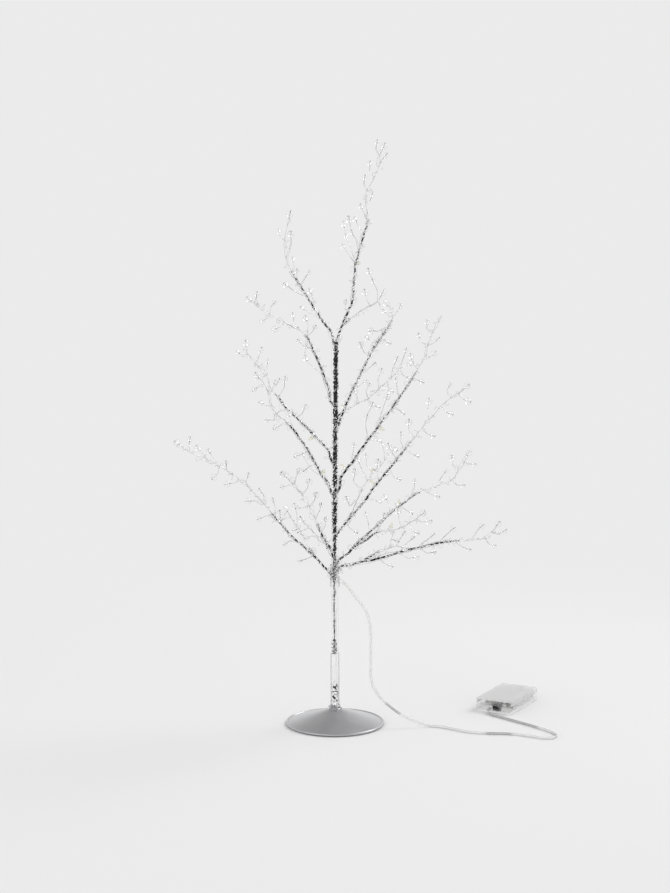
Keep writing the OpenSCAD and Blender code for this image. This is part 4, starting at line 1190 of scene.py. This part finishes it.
def make_lamps():
    for name, place, size, power in LAMPS:
        lamp = bpy.data.lights.new(name, "AREA")
        lamp.size = size
        lamp.energy = power
        thing = bpy.data.objects.new(name, lamp)
        thing.location = place
        aim = Vector(LAMPS_AIM) - Vector(place)
        thing.rotation_euler = aim.to_track_quat("-Z", "Y").to_euler()
        bpy.context.scene.collection.objects.link(thing)


# Making everything
make_camera()
foil = silver_foil()
core = dark_core()
# The jacket's second tone is its painted grey rim, a painted reflection of darker surroundings
jacket = thin_clear("lead_jacket", (0.97, 0.97, 0.97), (0.33, 0.33, 0.33), 0.3, 0.9, 0.25, 0.15)
make_lead(jacket, copper_core())
wire = thin_wire()
tinsel = [core, foil, wire]
# The film's second tone is its painted grey rim, a painted reflection of darker surroundings
film = thin_clear("clear_film", (0.9, 0.9, 0.9), (0.4, 0.4, 0.41), 0.02, 0.7, 0.65, 0.12)
trunk_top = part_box("trunk_wrap")[1][2]
make_trunk(tinsel, trunk_top)
make_knot(tinsel)
make_film(film, trunk_top)
make_cuff(tinsel)
for number, branch in enumerate(BRANCHES):
    make_branch(branch, number, tinsel)

silver = satin_silver()
acrylic = clear_acrylic()
lens = lamp_lens()
# Each clear plastic's second tone is its painted darker rim, a painted reflection of darker surroundings
tray_plastic = thin_clear("clear_tray", (0.8, 0.8, 0.8), (0.6, 0.6, 0.6), 0.12, 0.7, 0.6, 0.3)
lid_plastic = thin_clear("clear_lid", (0.95, 0.95, 0.95), (0.6, 0.6, 0.6), 0.42, 0.8, 0.5, 0.35)
sleeve = thin_clear("clear_tube", (0.95, 0.95, 0.95), (0.22, 0.22, 0.23), 0.02, 0.9, 0.3, 0.08)
nickel = bare_metal("nickel", (0.5, 0.49, 0.46), (0.68, 0.67, 0.63), 0.25)
looks = {
    "foot_dome": silver,
    "foot_weight": bare_metal("cast_iron", (0.05, 0.05, 0.05), (0.1, 0.1, 0.1), 0.6),
    "foot_pad": moulded("foam", (0.03, 0.03, 0.03), (0.07, 0.07, 0.07), 0.9, 900, 0.1 * MM),
    "foot_collar": silver,
    "foot_washer": nickel,
    "foot_nut": nickel,
    "trunk_post": moulded("post_plastic", (0.93, 0.93, 0.93), (0.97, 0.97, 0.97), 0.35),
    "clear_sleeve": sleeve,
    "lead_clip": sleeve,
    "battery_tray": tray_plastic,
    "battery_lid": lid_plastic,
    "battery_cells": moulded("cell_jacket", (0.74, 0.74, 0.74), (0.82, 0.82, 0.82), 0.35),
    "battery_springs": nickel,
    "battery_contacts": nickel,
    "box_wires": moulded("wire_jacket", (0.6, 0.6, 0.6), (0.7, 0.7, 0.7), 0.4),
    "switch_body": moulded("black_plastic", (0.012, 0.012, 0.012), (0.03, 0.03, 0.03), 0.35),
    "switch_knob": moulded("knob_plastic", (0.012, 0.012, 0.012), (0.03, 0.03, 0.03), 0.5),
}
for branch in BRANCHES:
    looks[branch + "_beads"] = acrylic
    if branch + "_lamps" in NODES:
        looks[branch + "_lamps"] = lens
for name, made in looks.items():
    for place in NODES[name].material_slots:
        place.material = made

make_floor()
make_world()
make_lamps()
view = bpy.context.scene.view_settings
view.view_transform = "Standard"
